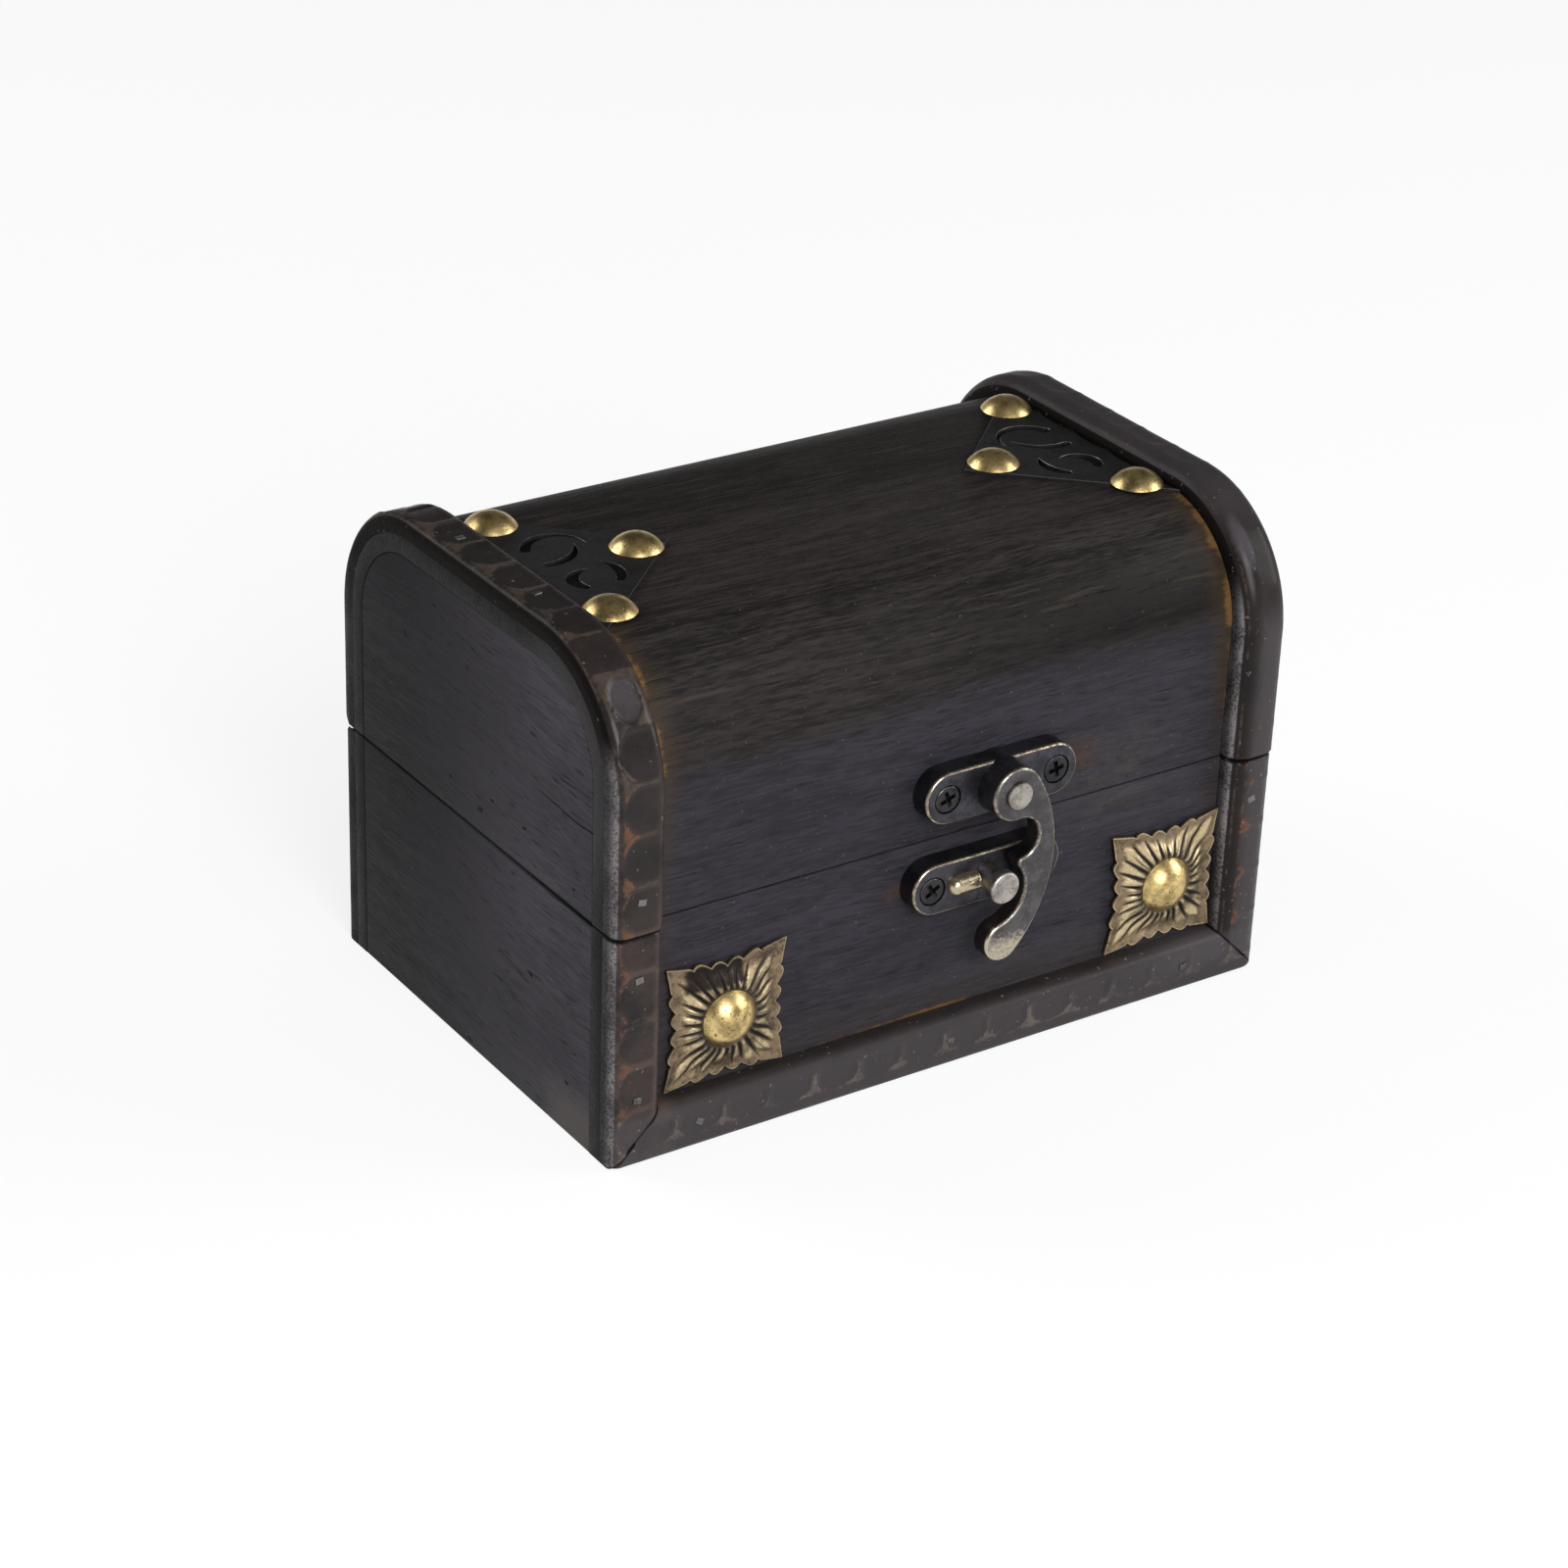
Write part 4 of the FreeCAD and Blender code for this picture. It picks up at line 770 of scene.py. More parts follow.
def gouge(bm, locate, width, thick, thin, look, ends, seed):
    # locate gives a place's run along the strip, way across it, height over its back, outward way and lift
    layers = {name: bm.verts.layers.float.new(name) for name in ("dent", "ridge", "bare", "across")}
    reach = width + 2 * thick
    for vert in bm.verts:
        along, across, height, outward, lift = locate(vert.co)
        share = max(0.0, min(1.0, across / width))
        dent, ridge, bare = gougeAt(along, share, look, seed)
        ease = max(0.0, min(1.0, (height - 0.25 * thick) / (0.5 * thick)))
        rough = noise.noise(vert.co * 210.0) + 0.5 * noise.noise(vert.co * 520.0)
        if share <= 1e-4 or share >= 1 - 1e-4:
            vert[layers["across"]] = (height if share < 0.5 else reach - height) / reach
        else:
            below = (thick - height) * (1 if share < 0.5 else -1)
            vert[layers["across"]] = (thick + across - below) / reach
        for name, value in (("dent", min(1.0, dent)), ("ridge", ridge), ("bare", bare)):
            vert[layers[name]] = value * ease
        sink = dent * stripShape["depth"] + stripShape["wobble"] * (0.5 + 0.5 * rough)
        for end, turn in ends:  # ends that are rounded off
            over = max(0.0, turn - abs(along - end))
            sink = max(sink, turn - math.sqrt(turn ** 2 - over ** 2))
        vert.co -= outward * sink * ease
        low = max(0.0, thick / 2 - height)  # the foot follows the skin, which lies higher under the crown
        vert.co += outward * low * thin * lift / (thick / 2)


def finishStrip(bm, name, body, node):
    closeUp(bm)
    soften(bm, stripShape["endSoft"], 2, math.radians(60))
    keepPiece(bm, name, body, "edge_strip", edgeStrip, node, crease=math.radians(48))


def makeLidStrips():
    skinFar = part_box("lid_skin")[1]
    for seed, (side, look) in enumerate(lidStrips.items()):
        node = f"lid_{side}_trim"
        low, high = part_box(node)
        thick, width = high.y - skinFar.y, high.x - low.x
        thin = thick - (high.z - skinFar.z)
        flat, spring, top = high.y - lidBend, high.z - lidBend, high.z
        bm = bmesh.new()
        origin = Vector((low.x, low.y + thick, low.z))
        section = stripSection(bm, origin, Vector((1, 0, 0)), Vector((0, -1, 0)), width, thick,
                               stripShape["rounds"][side])
        spacing, bendLength = stripShape["spacing"], lidBend * math.pi / 2
        leg = spring - low.z
        steps = [int(length / spacing) for length in (leg, bendLength, 2 * flat)]
        sweptArch(bm, section, low.z, spring, flat, *steps)

        def locate(place):
            if place.z <= spring:
                outward, lift = Vector((0, math.copysign(1, place.y), 0)), 0.0
                height = abs(place.y) - (high.y - thick)
                along = place.z - low.z
                if place.y > 0:
                    along = 2 * (leg + bendLength + flat) - along
            elif abs(place.y) <= flat:
                outward, height, lift = Vector((0, 0, 1)), place.z - (top - thick), 1.0
                along = leg + bendLength + place.y + flat
            else:
                spoke = Vector((0, place.y - math.copysign(flat, place.y), place.z - spring))
                outward, height = spoke.normalized(), spoke.length - (lidBend - thick)
                lift = outward.z
                turned = math.atan2(spoke.z, abs(spoke.y)) * lidBend
                along = leg + turned if place.y < 0 else leg + 2 * bendLength + 2 * flat - turned
            return along, place.x - low.x, height, outward, lift

        gouge(bm, locate, width, thick, thin, look, ((0.0, stripShape["seamRound"]),), seed + 1)
        cutAway(bm, hingeLine, (0, math.sin(reliefSlope), -math.cos(reliefSlope)))
        finishStrip(bm, node + ".strip", "lid", node)


boxStrips = {  # first ridge and pitch
    "front_left_corner_trim": {"up": True, "outer": -1, "ridges": (1.75, 7.65)},
    "front_right_corner_trim": {"up": True, "outer": 1, "ridges": (3.0, 7.8)},
    "back_left_corner_trim": {"up": True, "outer": -1, "ridges": (2.2, 7.8)},
    "back_right_corner_trim": {"up": True, "outer": 1, "ridges": (1.2, 7.7)},
    "front_base_trim": {"up": False, "ridges": (3.15, 7.95)},
    "back_base_trim": {"up": False, "ridges": (5.0, 7.9)},
}


def makeBoxStrips():
    for seed, (node, lay) in enumerate(boxStrips.items()):
        low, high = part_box(node)
        front = low.y < 0
        thick = high.y - low.y
        outward = Vector((0, -1 if front else 1, 0))
        origin = Vector((low.x, high.y if front else low.y, low.z))
        gap, rounds = stripShape["mitreGap"], stripShape["rounds"]
        bm = bmesh.new()
        run, sideways = Vector((0, 0, 1)), Vector((1, 0, 0))
        if not lay["up"]:
            run, sideways = sideways, run
        width, length = ((high - low).dot(way) for way in (sideways, run))
        side = ("left" if lay["outer"] < 0 else "right") if lay["up"] else "base"
        section = stripSection(bm, origin, sideways, outward, width, thick, rounds[side])
        steps = int(length / stripShape["spacing"])
        spun(bm, section, steps, shift=run * (length / steps))
        first, pitch = lay["ridges"]
        ridges = [first + pitch * step for step in range(-1, int(length / mm / pitch) + 2)]
        look = dict(boxStripCuts[side], ridges=ridges, plain=(), oval=())

        def locate(place):
            away = place - origin
            return away.dot(run), away.dot(sideways), away.dot(outward), outward, 0.0

        ends = ((0.0, rounds["left"][0]), (length, rounds["right"][1]))
        if lay["up"]:
            ends = ((length, stripShape["seamRound"]),)
        gouge(bm, locate, width, thick, 0.0, look, ends, seed + 11)
        cuts = []
        if lay["up"]:  # mitred foot
            outerX = low.x if lay["outer"] < 0 else high.x
            cuts.append(((outerX, 0, low.z + gap), (-lay["outer"], 0, -1)))
            if not front:
                cuts.append((hingeLine, (0, math.sin(reliefSlope), math.cos(reliefSlope))))
        else:
            cuts += [((low.x + gap, 0, low.z), (-1, 0, 1)), ((high.x - gap, 0, low.z), (1, 0, 1))]
        for place, away in cuts:
            cutAway(bm, place, away)
        finishStrip(bm, node + ".strip", "box", node)


makeLidStrips()
makeBoxStrips()
print("edge strips made")


# turned and stamped metalwork

def turnedProfile(bm, steps):
    # a full turn of the profile about Z
    bmesh.ops.spin(bm, geom=bm.verts[:] + bm.edges[:], cent=(0, 0, 0), axis=(0, 0, 1), angle=2 * math.pi,
                   steps=steps, use_merge=True)
    bmesh.ops.remove_doubles(bm, verts=bm.verts[:], dist=1e-6)
    bmesh.ops.recalc_face_normals(bm, faces=bm.faces[:])


tackShape = {
    "rise": 2.6 * mm, "domeSteps": 18, "turns": 64, "beaten": 0.05 * mm, "evenBelow": 0.4 * mm,
    "lip": ((0.08 * mm, 0, -0.10 * mm), (-0.05 * mm, 0, -0.10 * mm), (-0.6 * mm, 0, 0.06 * mm)),
}


def makeTack(bm, radius, rise, seat, stand):
    # domed head with a thin lip, standing at seat with its axis along stand's Z
    sphere = (radius ** 2 + rise ** 2) / (2 * rise)
    part = bmesh.new()
    apex = part.verts.new((0, 0, rise))
    opening = math.asin((radius - tackShape["lip"][0][0]) / sphere)
    last = spun(part, [apex], tackShape["domeSteps"], opening, (0, 0, rise - sphere), (0, 1, 0))
    for step in tackShape["lip"]:
        last = spun(part, vertsOf(last), 1, shift=step)
    turnedProfile(part, tackShape["turns"])
    for vert in part.verts:
        place = vert.co + Vector(seat) * 7
        sink = 0.5 + 0.5 * noise.noise(place * 900.0)
        vert.co.z -= tackShape["beaten"] * sink * (vert.co.z > tackShape["evenBelow"])
        vert.co.z = max(vert.co.z, 0.0)
    join(bm, part, Matrix.Translation(seat) @ stand)


def makeTacks():
    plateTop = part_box("left_scroll_plate")[1].z
    for side in ("left", "right"):
        node = f"{side}_rosette_tack"
        low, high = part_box(node)
        radius, rise = (high.x - low.x) / 2, tackShape["rise"]
        bm = bmesh.new()
        makeTack(bm, radius, rise, ((low.x + high.x) / 2, low.y + rise, (low.z + high.z) / 2), faceForward)
        keepPiece(bm, node + ".dome", "box", "tack_brass", metals["tackBrass"], node)
        node = f"{side}_scroll_plate_tacks"
        bm = bmesh.new()
        for low, high in loosePieces(node):
            seat = ((low.x + high.x) / 2, (low.y + high.y) / 2, plateTop)
            makeTack(bm, (high.x - low.x) / 2, high.z - plateTop, seat, Matrix())
        keepPiece(bm, node + ".domes", "lid", "tack_brass", metals["tackBrass"], node)


rosetteShape = {
    "hole": 3.4 * mm, "spokes": 288, "rings": 30, "sheet": 0.40 * mm, "middle": 1.95 * mm, "field": 0.85 * mm,
    "flare": 0.30 * mm, "cornerDrop": 0.25 * mm, "sag": 1.5 * mm, "crest": 0.95 * mm, "scallops": 4,
    "point": 0.36, "petals": 28, "petalRise": 0.34 * mm, "petalFrom": 4.6 * mm, "line": 0.25 * mm,
    "uneven": 0.07 * mm, "tackShadeRing": 5.0 * mm, "rimFrom": 0.955,
    "wear": {"field": 0.16, "more": 0.14, "rim": 0.45, "crest": 0.46},
    "band": {"from": 4.9 * mm, "to": 5.8 * mm, "side": -2.2 * mm, "half": 5.6 * mm},
}


def rosetteReach(angle, half):
    # distance from the middle to the scalloped edge
    look = rosetteShape
    turn = (angle + math.pi / 4) % (math.pi / 2) - math.pi / 4
    place = math.tan(turn)  # -1 to 1 along the side
    edge = half - look["sag"] * (1 - abs(place) ** 1.7)
    limit = 1 - look["point"]
    if abs(place) < limit:
        step = (place + limit) / (2 * limit) * look["scallops"]
        edge += look["crest"] * (1 - abs(2 * (step % 1.0) - 1) ** 1.7 - 0.35)
    return min(edge, half) / math.cos(turn)


def makeRosettes():
    look = rosetteShape
    for seed, side in enumerate(("left", "right")):
        node = f"{side}_rosette"
        low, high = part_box(node)
        half = (high.x - low.x) / 2
        pick = random.Random(40 + seed)
        widths = [pick.uniform(0.78, 1.22) for petal in range(look["petals"])]
        starts = [sum(widths[:petal]) / sum(widths) * 2 * math.pi for petal in range(look["petals"] + 1)]
        lengths = [pick.uniform(0.80, 0.96) for petal in range(look["petals"])]
        bm = bmesh.new()
        bmesh.ops.create_circle(bm, cap_ends=False, radius=look["hole"], segments=look["spokes"])
        groove, wear = bm.verts.layers.float.new("groove"), bm.verts.layers.float.new("wear")
        rim = bm.edges[:]
        for ring in range(look["rings"] + 1):
            share = ring / look["rings"]
            if ring:
                drawn = bmesh.ops.extrude_edge_only(bm, edges=rim)["geom"]
                rim = [g for g in drawn if isinstance(g, bmesh.types.BMEdge) and g.is_boundary]
            for vert in {v for edge in rim for v in edge.verts}:
                angle = math.atan2(vert.co.y, vert.co.x) % (2 * math.pi)
                reach = rosetteReach(angle, half)
                radius = look["hole"] + (reach - look["hole"]) * share
                petal = max(i for i in range(look["petals"]) if starts[i] <= angle)
                breadth = starts[petal + 1] - starts[petal]
                phase = abs((angle - starts[petal]) / breadth * 2 - 1)
                # petals swell from the tack and die out before the scalloped edge
                end = reach * lengths[petal]
                swell = eased(radius, look["petalFrom"] - 0.3 * mm, look["petalFrom"] + 0.9 * mm)
                swell *= eased(end - radius, -0.1 * mm, 1.8 * mm)
                slope = eased(radius, look["petalFrom"], 0.86 * half)
                corner = max(0.0, (radius - 0.95 * half) / (0.46 * half))
                height = look["middle"] + (look["field"] - look["middle"]) * slope
                height += look["flare"] * eased(share, 0.72, 1.0)
                height += look["petalRise"] * swell * (1 - phase ** 2) - look["cornerDrop"] * corner
                wayX, wayY = math.cos(angle), math.sin(angle)
                height += look["uneven"] * noise.noise(Vector((wayX, wayY, radius * 400)) * 2.2)
                vert.co = (wayX * radius, wayY * radius, height)
                # grooves between the petals taper outwards, and a finer line runs down some petals
                taper = look["line"] * (1.5 - 1.1 * eased(radius, look["petalFrom"], end))
                taper /= radius * breadth / 2
                lines = eased(phase, 1 - 2.0 * taper, 1 - 0.6 * taper) * min(1.0, swell * 1.8)
                if petal % 3 == seed:
                    lines = max(lines, 0.8 * eased(0.5 * taper - phase, 0.0, 0.2 * taper) * swell)
                # painted shade: a dark ring under and round the tack's edge
                tackShadeRing = eased(look["tackShadeRing"] - radius, 0.0, 0.6 * mm)
                skin = 0.0
                if side == "left":  # a dark skin has stayed on the upper part of this one
                    band = look["band"]
                    skin = eased(vert.co.y, band["from"], band["to"])
                    skin *= eased(look["rimFrom"] - share, 0.0, 0.02)
                    skin *= eased(band["half"] - abs(vert.co.x - band["side"]), 0.0, 1.2 * mm)
                vert[groove] = max(lines, tackShadeRing, skin)
                rubbed = look["wear"]
                bare = rubbed["field"] + rubbed["more"] * seed  # the right one is the brighter
                bare += rubbed["rim"] * eased(share, look["rimFrom"], 0.99)
                vert[wear] = bare + rubbed["crest"] * swell * eased(1 - phase, 0.0, 0.6)
        bmesh.ops.recalc_face_normals(bm, faces=bm.faces[:])
        if sum(face.normal.z for face in bm.faces) < 0:
            bmesh.ops.reverse_faces(bm, faces=bm.faces[:])
        skirt = bmesh.ops.extrude_face_region(bm, geom=bm.faces[:], use_keep_orig=True)["geom"]
        bmesh.ops.translate(bm, vec=(0, 0, -look["sheet"]), verts=vertsOf(skirt))
        bmesh.ops.recalc_face_normals(bm, faces=bm.faces[:])
        bmesh.ops.transform(bm, matrix=onFront(low, high), verts=bm.verts[:])
        keepPiece(bm, node + ".sheet", "box", "rosette_brass", metals["rosetteBrass"], node,
                  crease=math.radians(55))


makeTacks()
makeRosettes()
print("tacks and rosettes made")


castShape = {
    "sheetSoft": 0.15 * mm, "sheetWear": (0.66, 0.06),  # on the rims and elsewhere
    "rimWear": 0.53, "lugWear": 0.90, "faceWear": 0.06,
    "hookWear": (0.46, 0.22, 0.04),  # on the rounds, the front and elsewhere
}


def makeScrollPlates():
    for side in ("left", "right"):
        node = f"{side}_scroll_plate"
        bm = cadCopy(node)
        bmesh.ops.dissolve_limit(bm, angle_limit=math.radians(1.0), verts=bm.verts[:], edges=bm.edges[:])
        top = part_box(node)[1].z
        rims = [e for e in bm.edges if all(abs(v.co.z - top) < 1e-6 for v in e.verts)]
        soften(bm, castShape["sheetSoft"], 1, math.radians(60), rims)
        wear = bm.faces.layers.float.new("wear")
        rim, plain = castShape["sheetWear"]
        for face in bm.faces:
            face[wear] = rim if 0.2 < face.normal.z < 0.95 else plain
        bmesh.ops.triangulate(bm, faces=bm.faces[:])
        keepPiece(bm, node + ".sheet", "lid", "blackened_sheet", metals["blackenedSheet"], node,
                  crease=math.radians(25))


def makeLatch():
    look = castShape
    plates = (("latch_plate", "latch_screws", "lid"), ("catch_plate", "catch_screws", "box"))
    for node, screws, body in plates:
        bm = cadCopy(node)
        wear = bm.faces.layers.float.new("wear")
        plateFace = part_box(screws)[0].y
        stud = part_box("catch_stud")[0].x
        for face in bm.faces:
            middle = face.calc_center_median()
            rounded = 0.12 < -face.normal.y < 0.97 and middle.y < plateFace + 0.8 * mm
            face[wear] = look["rimWear"] if rounded else (look["faceWear"] if face.normal.y < -0.97 else 0.0)
            if node == "catch_plate" and middle.y < plateFace - 0.05 * mm and middle.x < stud:
                face[wear] = look["lugWear"]
        keepPiece(bm, node + ".cast", body, "latch_bronze", metals["latchBronze"], node)
    bm = cadCopy("swing_hook")
    wear = bm.faces.layers.float.new("wear")
    rim, front, plain = look["hookWear"]
    for face in bm.faces:
        rounded = 0.12 < -face.normal.y < 0.97
        face[wear] = rim if rounded else (front if face.normal.y < -0.5 else plain)
    keepPiece(bm, "swing_hook.cast", "hook", "latch_bronze", metals["hookSteel"], "swing_hook")


def keepTurned(node, body, points, turns):
    bm = bmesh.new()
    verts = [bm.verts.new((radius, 0, level)) for radius, level in points]
    for first, second in zip(verts, verts[1:]):
        bm.edges.new((first, second))
    turnedProfile(bm, turns)
    bmesh.ops.transform(bm, matrix=onFront(*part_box(node)), verts=bm.verts[:])
    keepPiece(bm, node + ".turned", body, "latch_bronze", metals["studSilver"], node, crease=math.radians(40))


studShape = {
    "neck": 2.1 * mm, "headThick": 1.8 * mm, "under": 0.15 * mm, "edge": 0.50 * mm,
    "edgeTurns": (90, 65, 45, 25, 5), "dish": 0.22 * mm, "dishShare": 0.66,
    "dishEdge": (0.25 * mm, 0.05 * mm), "turns": 56,
}


def makeStud():
    look = studShape
    low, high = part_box("catch_stud")
    head, reach = (high.x - low.x) / 2, high.y - low.y
    neck, under, edge, soft = look["neck"], reach - look["headThick"], look["edge"], look["under"]
    points = [(0, 0), (neck, 0), (neck, under), (head - soft, under), (head, under + soft)]
    for turn in look["edgeTurns"]:
        points.append((head - edge + edge * math.sin(math.radians(turn)),
                       reach - edge + edge * math.cos(math.radians(turn))))
    dish, (lip, drop) = head * look["dishShare"], look["dishEdge"]
    points += [(dish + lip, reach), (dish, reach - drop), (dish * 0.6, reach - look["dish"] * 0.8),
               (0, reach - look["dish"])]
    keepTurned("catch_stud", "box", points, look["turns"])


rivetShape = {
    "shank": 1.3 * mm, "headRise": 0.5 * mm, "edge": 0.22 * mm, "domeDrop": (0.08 * mm, 0.01 * mm),
    "turns": 48,
}


def makeRivet():
    look = rivetShape
    low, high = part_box("latch_rivet")
    head, reach, edge, shank = (high.x - low.x) / 2, high.y - low.y, look["edge"], look["shank"]
    under, (outerDrop, innerDrop) = reach - look["headRise"], look["domeDrop"]
    points = [(0, 0), (shank, 0), (shank, under), (head, under), (head, reach - edge),
              (head - 0.4 * edge, reach - 0.4 * edge), (head - 1.2 * edge, reach - outerDrop),
              (head * 0.5, reach - innerDrop), (0, reach)]
    keepTurned("latch_rivet", "lid", points, look["turns"])


screwShape = {  # shares of the head's radius or height
    "segments": 56, "edge": 0.22, "slotHalf": 0.17, "slotReach": 0.66, "slotDepth": 0.55, "taper": 0.62,
    "rimWear": 0.42, "faceWear": 0.12, "shankSegments": 20, "shankTip": 0.4,
}


def makeScrew(bm, radius, height, shank, length, seat, stand, twist):
    # round head with a tapered cross recess, and its shank behind
    look = screwShape
    part = bmesh.new()
    wear = part.faces.layers.float.new("wear")
    groove = part.faces.layers.float.new("groove")
    bmesh.ops.create_cone(part, cap_ends=True, segments=look["segments"], radius1=radius, radius2=radius,
                          depth=height)
    bmesh.ops.translate(part, vec=(0, 0, height / 2), verts=part.verts[:])
    rim = [e for e in part.edges if all(v.co.z > height * 0.99 for v in e.verts)]
    bmesh.ops.bevel(part, geom=rim, offset=look["edge"] * height, offset_type="OFFSET", affect="EDGES",
                    segments=3, profile=0.5, material=-1)
    half, reach = look["slotHalf"] * radius, look["slotReach"] * radius
    for axis in (Vector((1, 0, 0)), Vector((0, 1, 0))):
        for place in (-half, -reach, half, reach):
            tops = [f for f in part.faces if f.normal.z > 0.99 and f.calc_center_median().z > height * 0.9]
            edges, corners = {e for f in tops for e in f.edges}, {v for f in tops for v in f.verts}
            bmesh.ops.bisect_plane(part, geom=tops + list(edges) + list(corners), dist=1e-8,
                                   plane_co=axis * place, plane_no=axis)
    part.normal_update()
    cross = []
    for face in part.faces:
        middle = face.calc_center_median()
        if face.normal.z > 0.99 and middle.z > height * 0.9:
            a, b = abs(middle.x), abs(middle.y)
            if (a < half and b < reach) or (b < half and a < reach):
                cross.append(face)
    for face in part.faces:
        face[wear] = look["rimWear"] if 0.2 < face.normal.z < 0.96 else look["faceWear"]
    for face in cross:
        face[groove] = 1.0
    sunk = bmesh.ops.extrude_face_region(part, geom=cross)["geom"]
    for side in {f for e in sunk if isinstance(e, bmesh.types.BMEdge) for f in e.link_faces}:
        side[groove] = 1.0
    floorVerts = vertsOf(sunk)
    bmesh.ops.translate(part, vec=(0, 0, -look["slotDepth"] * height), verts=floorVerts)
    bmesh.ops.scale(part, vec=(look["taper"], look["taper"], 1), verts=floorVerts)
    bmesh.ops.delete(part, geom=[f for f in cross if f.is_valid], context="FACES")
    for face in part.faces:
        if face.calc_center_median().z < height * 0.85 and abs(face.normal.z) > 0.0:
            face[wear] = 0.0
    pin = bmesh.ops.create_cone(part, cap_ends=True, segments=look["shankSegments"],
                                radius1=shank * look["shankTip"], radius2=shank, depth=length)["verts"]
    bmesh.ops.translate(part, vec=(0, 0, -length / 2), verts=pin)
    bmesh.ops.recalc_face_normals(part, faces=part.faces[:])
    join(bm, part, Matrix.Translation(seat) @ stand @ Matrix.Rotation(twist, 4, "Z"))


screwSets = {  # body, slot, finish, height of the head, radius of the shank, twists
    "latch_screws": ("lid", "blackened_screw", "blackenedScrew", 0.9 * mm, 0.9 * mm, (0.35, 0.20)),
    "catch_screws": ("box", "blackened_screw", "blackenedScrew", 0.9 * mm, 0.9 * mm, (0.55, 0.10)),
    "hinge_lid_screws": ("lid", "hinge_brass", "hingeBrass", 0.5 * mm, 0.7 * mm, (0.2, 0.9, 0.5, 0.1)),
    "hinge_box_screws": ("box", "hinge_brass", "hingeBrass", 0.5 * mm, 0.7 * mm, (0.6, 0.3, 1.0, 0.4)),
}


def makeScrews():
    for node, (body, slotName, metal, height, shank, twists) in screwSets.items():
        bm = bmesh.new()
        for (low, high), twist in zip(loosePieces(node), twists):
            front = low.y < 0
            radius, length = (high.x - low.x) / 2, high.y - low.y - height
            seat = ((low.x + high.x) / 2, low.y + height if front else high.y - height, (low.z + high.z) / 2)
            makeScrew(bm, radius, height, shank, length, seat, faceForward if front else faceBack, twist)
        keepPiece(bm, node + ".turned", body, slotName, metals[metal], node)


makeScrollPlates()
makeLatch()
makeStud()
makeRivet()
makeScrews()
print("latch, screws and scroll plates made")


bradShape = {
    "long": 1.35 * mm, "broad": 1.05 * mm, "thick": 0.34 * mm, "soft": 0.10 * mm, "sunk": 0.20 * mm,
    "twist": 0.5, "tilt": 0.06,
}


def makeBrads():
    for node, body in (("box_trim_brads", "box"), ("lid_trim_brads", "lid")):
        bm = bmesh.new()
        pick = random.Random(7)
        for low, high in loosePieces(node):
            middle, size = (low + high) / 2, high - low
            if size.z > size.y:
                seat, stand = Vector((middle.x, middle.y, high.z)), Matrix()
            elif middle.y < 0:
                seat, stand = Vector((middle.x, low.y, middle.z)), faceForward
            else:
                seat, stand = Vector((middle.x, high.y, middle.z)), faceBack
            twist, tilt = (pick.uniform(-bradShape[key], bradShape[key]) for key in ("twist", "tilt"))
            lean = Matrix.Rotation(twist, 4, "Z") @ Matrix.Rotation(tilt, 4, "X")
            part = bmesh.ops.create_cube(bm, size=1.0)["verts"]
            bmesh.ops.scale(bm, vec=(bradShape["long"], bradShape["broad"], bradShape["thick"]), verts=part)
            bmesh.ops.translate(bm, vec=(0, 0, -bradShape["thick"] / 2 - bradShape["sunk"]), verts=part)
            bmesh.ops.transform(bm, matrix=Matrix.Translation(seat) @ stand @ lean, verts=part)
        soften(bm, bradShape["soft"], 2)
        keepPiece(bm, node + ".heads", body, "brad_steel", metals["bradSteel"], node)


makeBrads()
for node in frame["nodes"]:  # hinge leaves and pins keep their CAD shape
    if "_hinge_" in node:
        slots = frame["nodes"][node].data.materials
        slots.clear()
        slots.append(metals["hingeBrass"])
print("brads and hinges made")


# floor, light and camera

stageLook = {
    "half": 3.0, "floor": (0.86, 0.86, 0.87), "glow": 0.80, "zenith": 0.10, "skyTurn": (0.02, 0.32),
    "ambient": 0.34,
}


def raysOf(tree):
    path = tree.nodes.new("ShaderNodeLightPath").outputs
    kinds = ("Camera", "Glossy", "Transmission")
    camera, glossy, through = (Value(tree, path[f"Is {kind} Ray"]) for kind in kinds)
    return camera, glossy.orElse(through)


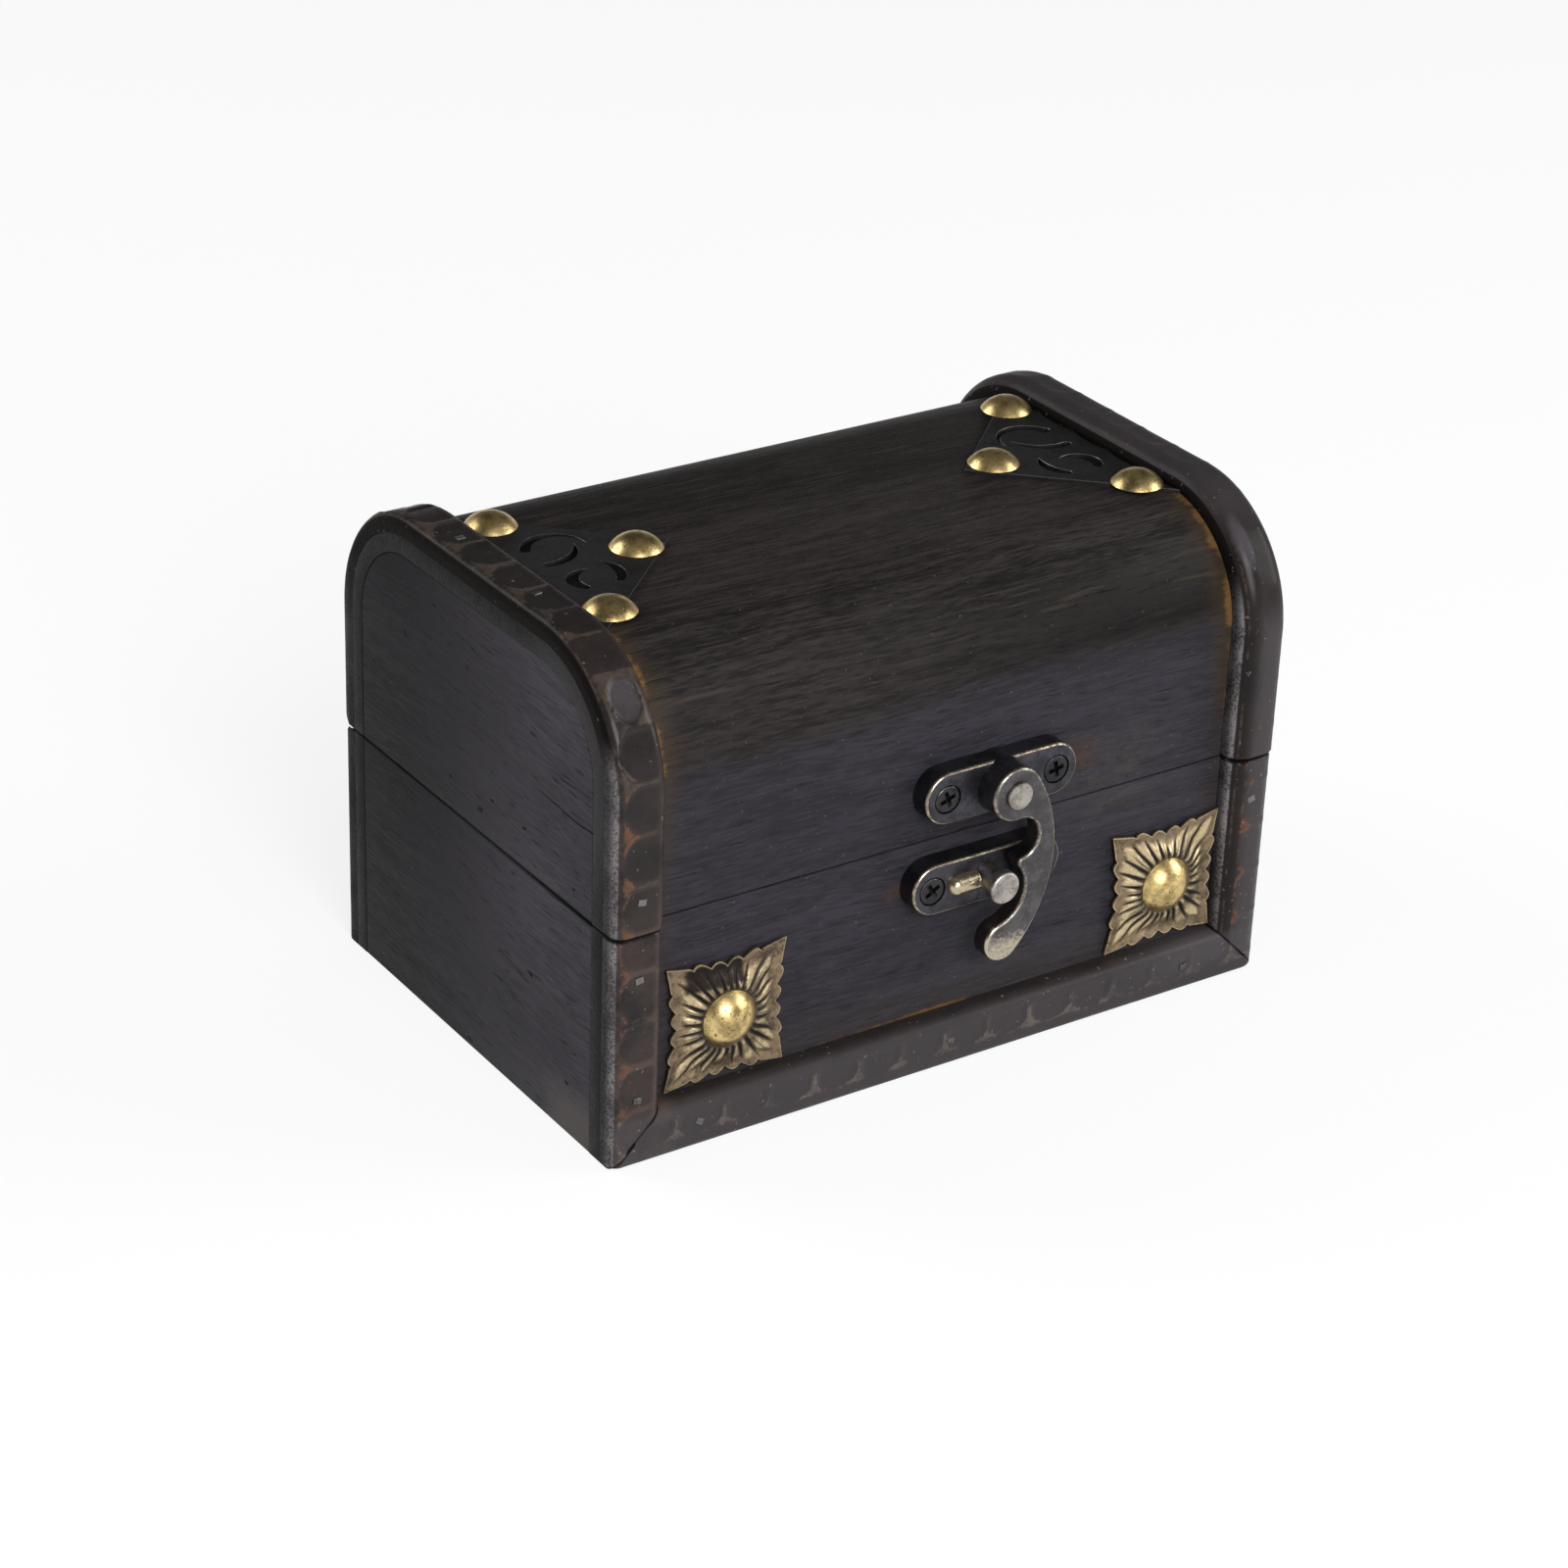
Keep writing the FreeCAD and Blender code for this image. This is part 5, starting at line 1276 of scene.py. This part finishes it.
def makeStage():
    bm = bmesh.new()
    bmesh.ops.create_grid(bm, x_segments=1, y_segments=1, size=stageLook["half"])
    mesh = bpy.data.meshes.new("studioFloor")
    bm.to_mesh(mesh)
    bm.free()
    floor = bpy.data.objects.new("studioFloor", mesh)
    scene.collection.objects.link(floor)
    finish = bpy.data.materials.new("studioFloor")
    finish.use_nodes = True
    tree = finish.node_tree
    tree.nodes.clear()
    camera, mirrored = raysOf(tree)
    plain = made(tree, "ShaderNodeBsdfDiffuse", {"Color": (*stageLook["floor"], 1.0)})
    glow = made(tree, "ShaderNodeEmission", ())
    both = made(tree, "ShaderNodeMixShader", (camera.orElse(mirrored) * stageLook["glow"], plain, glow))
    feed(tree, tree.nodes.new("ShaderNodeOutputMaterial").inputs["Surface"], both)
    mesh.materials.append(finish)

    world = bpy.data.worlds.new("studio")
    scene.world = world
    world.use_nodes = True
    tree = world.node_tree
    tree.nodes.clear()
    camera, mirrored = raysOf(tree)
    up = made(tree, "ShaderNodeTexCoord", (), "Generated").axes()[2]
    sky = up.span(*stageLook["skyTurn"], 1.0, stageLook["zenith"])
    level = mirrored.span(0.0, 1.0, stageLook["ambient"], sky).orElse(camera)
    glow = made(tree, "ShaderNodeBackground", {"Strength": level})
    feed(tree, tree.nodes.new("ShaderNodeOutputWorld").inputs["Surface"], glow)


lampAim = Vector((0, 0, 0.035))
lampRig = {
    "key": {"at": (-0.25, -1.10, 0.66), "size": 0.70, "watts": 17.0},
    "fill": {"at": (1.00, -0.60, 0.55), "size": 0.80, "watts": 9.0},
    "rear": {"at": (-0.75, 0.90, 0.75), "size": 0.80, "watts": 7.0},
}


def makeLamps():
    for name, lay in lampRig.items():
        lamp = bpy.data.lights.new(name, "AREA")
        lamp.shape, lamp.size, lamp.energy = "DISK", lay["size"], lay["watts"]
        shown = bpy.data.objects.new(name, lamp)
        shown.location = lay["at"]
        shown.rotation_euler = (lampAim - Vector(lay["at"])).to_track_quat("-Z", "Y").to_euler()
        scene.collection.objects.link(shown)


cameraRig = {
    "at": (-0.3220, -0.4632, 0.3216), "azimuth": -34.42, "elevation": 27.36, "roll": -2.13, "lens": 93.42,
    "sensor": 36.0, "near": 0.01,
}


def makeCamera():
    turn, tilt, roll = (math.radians(cameraRig[key]) for key in ("azimuth", "elevation", "roll"))
    camera = bpy.data.cameras.new("photoCamera")
    camera.lens, camera.sensor_width = cameraRig["lens"], cameraRig["sensor"]
    camera.clip_start = cameraRig["near"]
    shown = bpy.data.objects.new("photoCamera", camera)
    aim = Matrix.Rotation(turn, 4, "Z") @ Matrix.Rotation(math.pi / 2 - tilt, 4, "X")
    shown.matrix_world = Matrix.Translation(cameraRig["at"]) @ aim @ Matrix.Rotation(-roll, 4, "Z")
    scene.collection.objects.link(shown)
    scene.camera = shown


makeStage()
makeLamps()
makeCamera()
scene.view_settings.view_transform = "Standard"
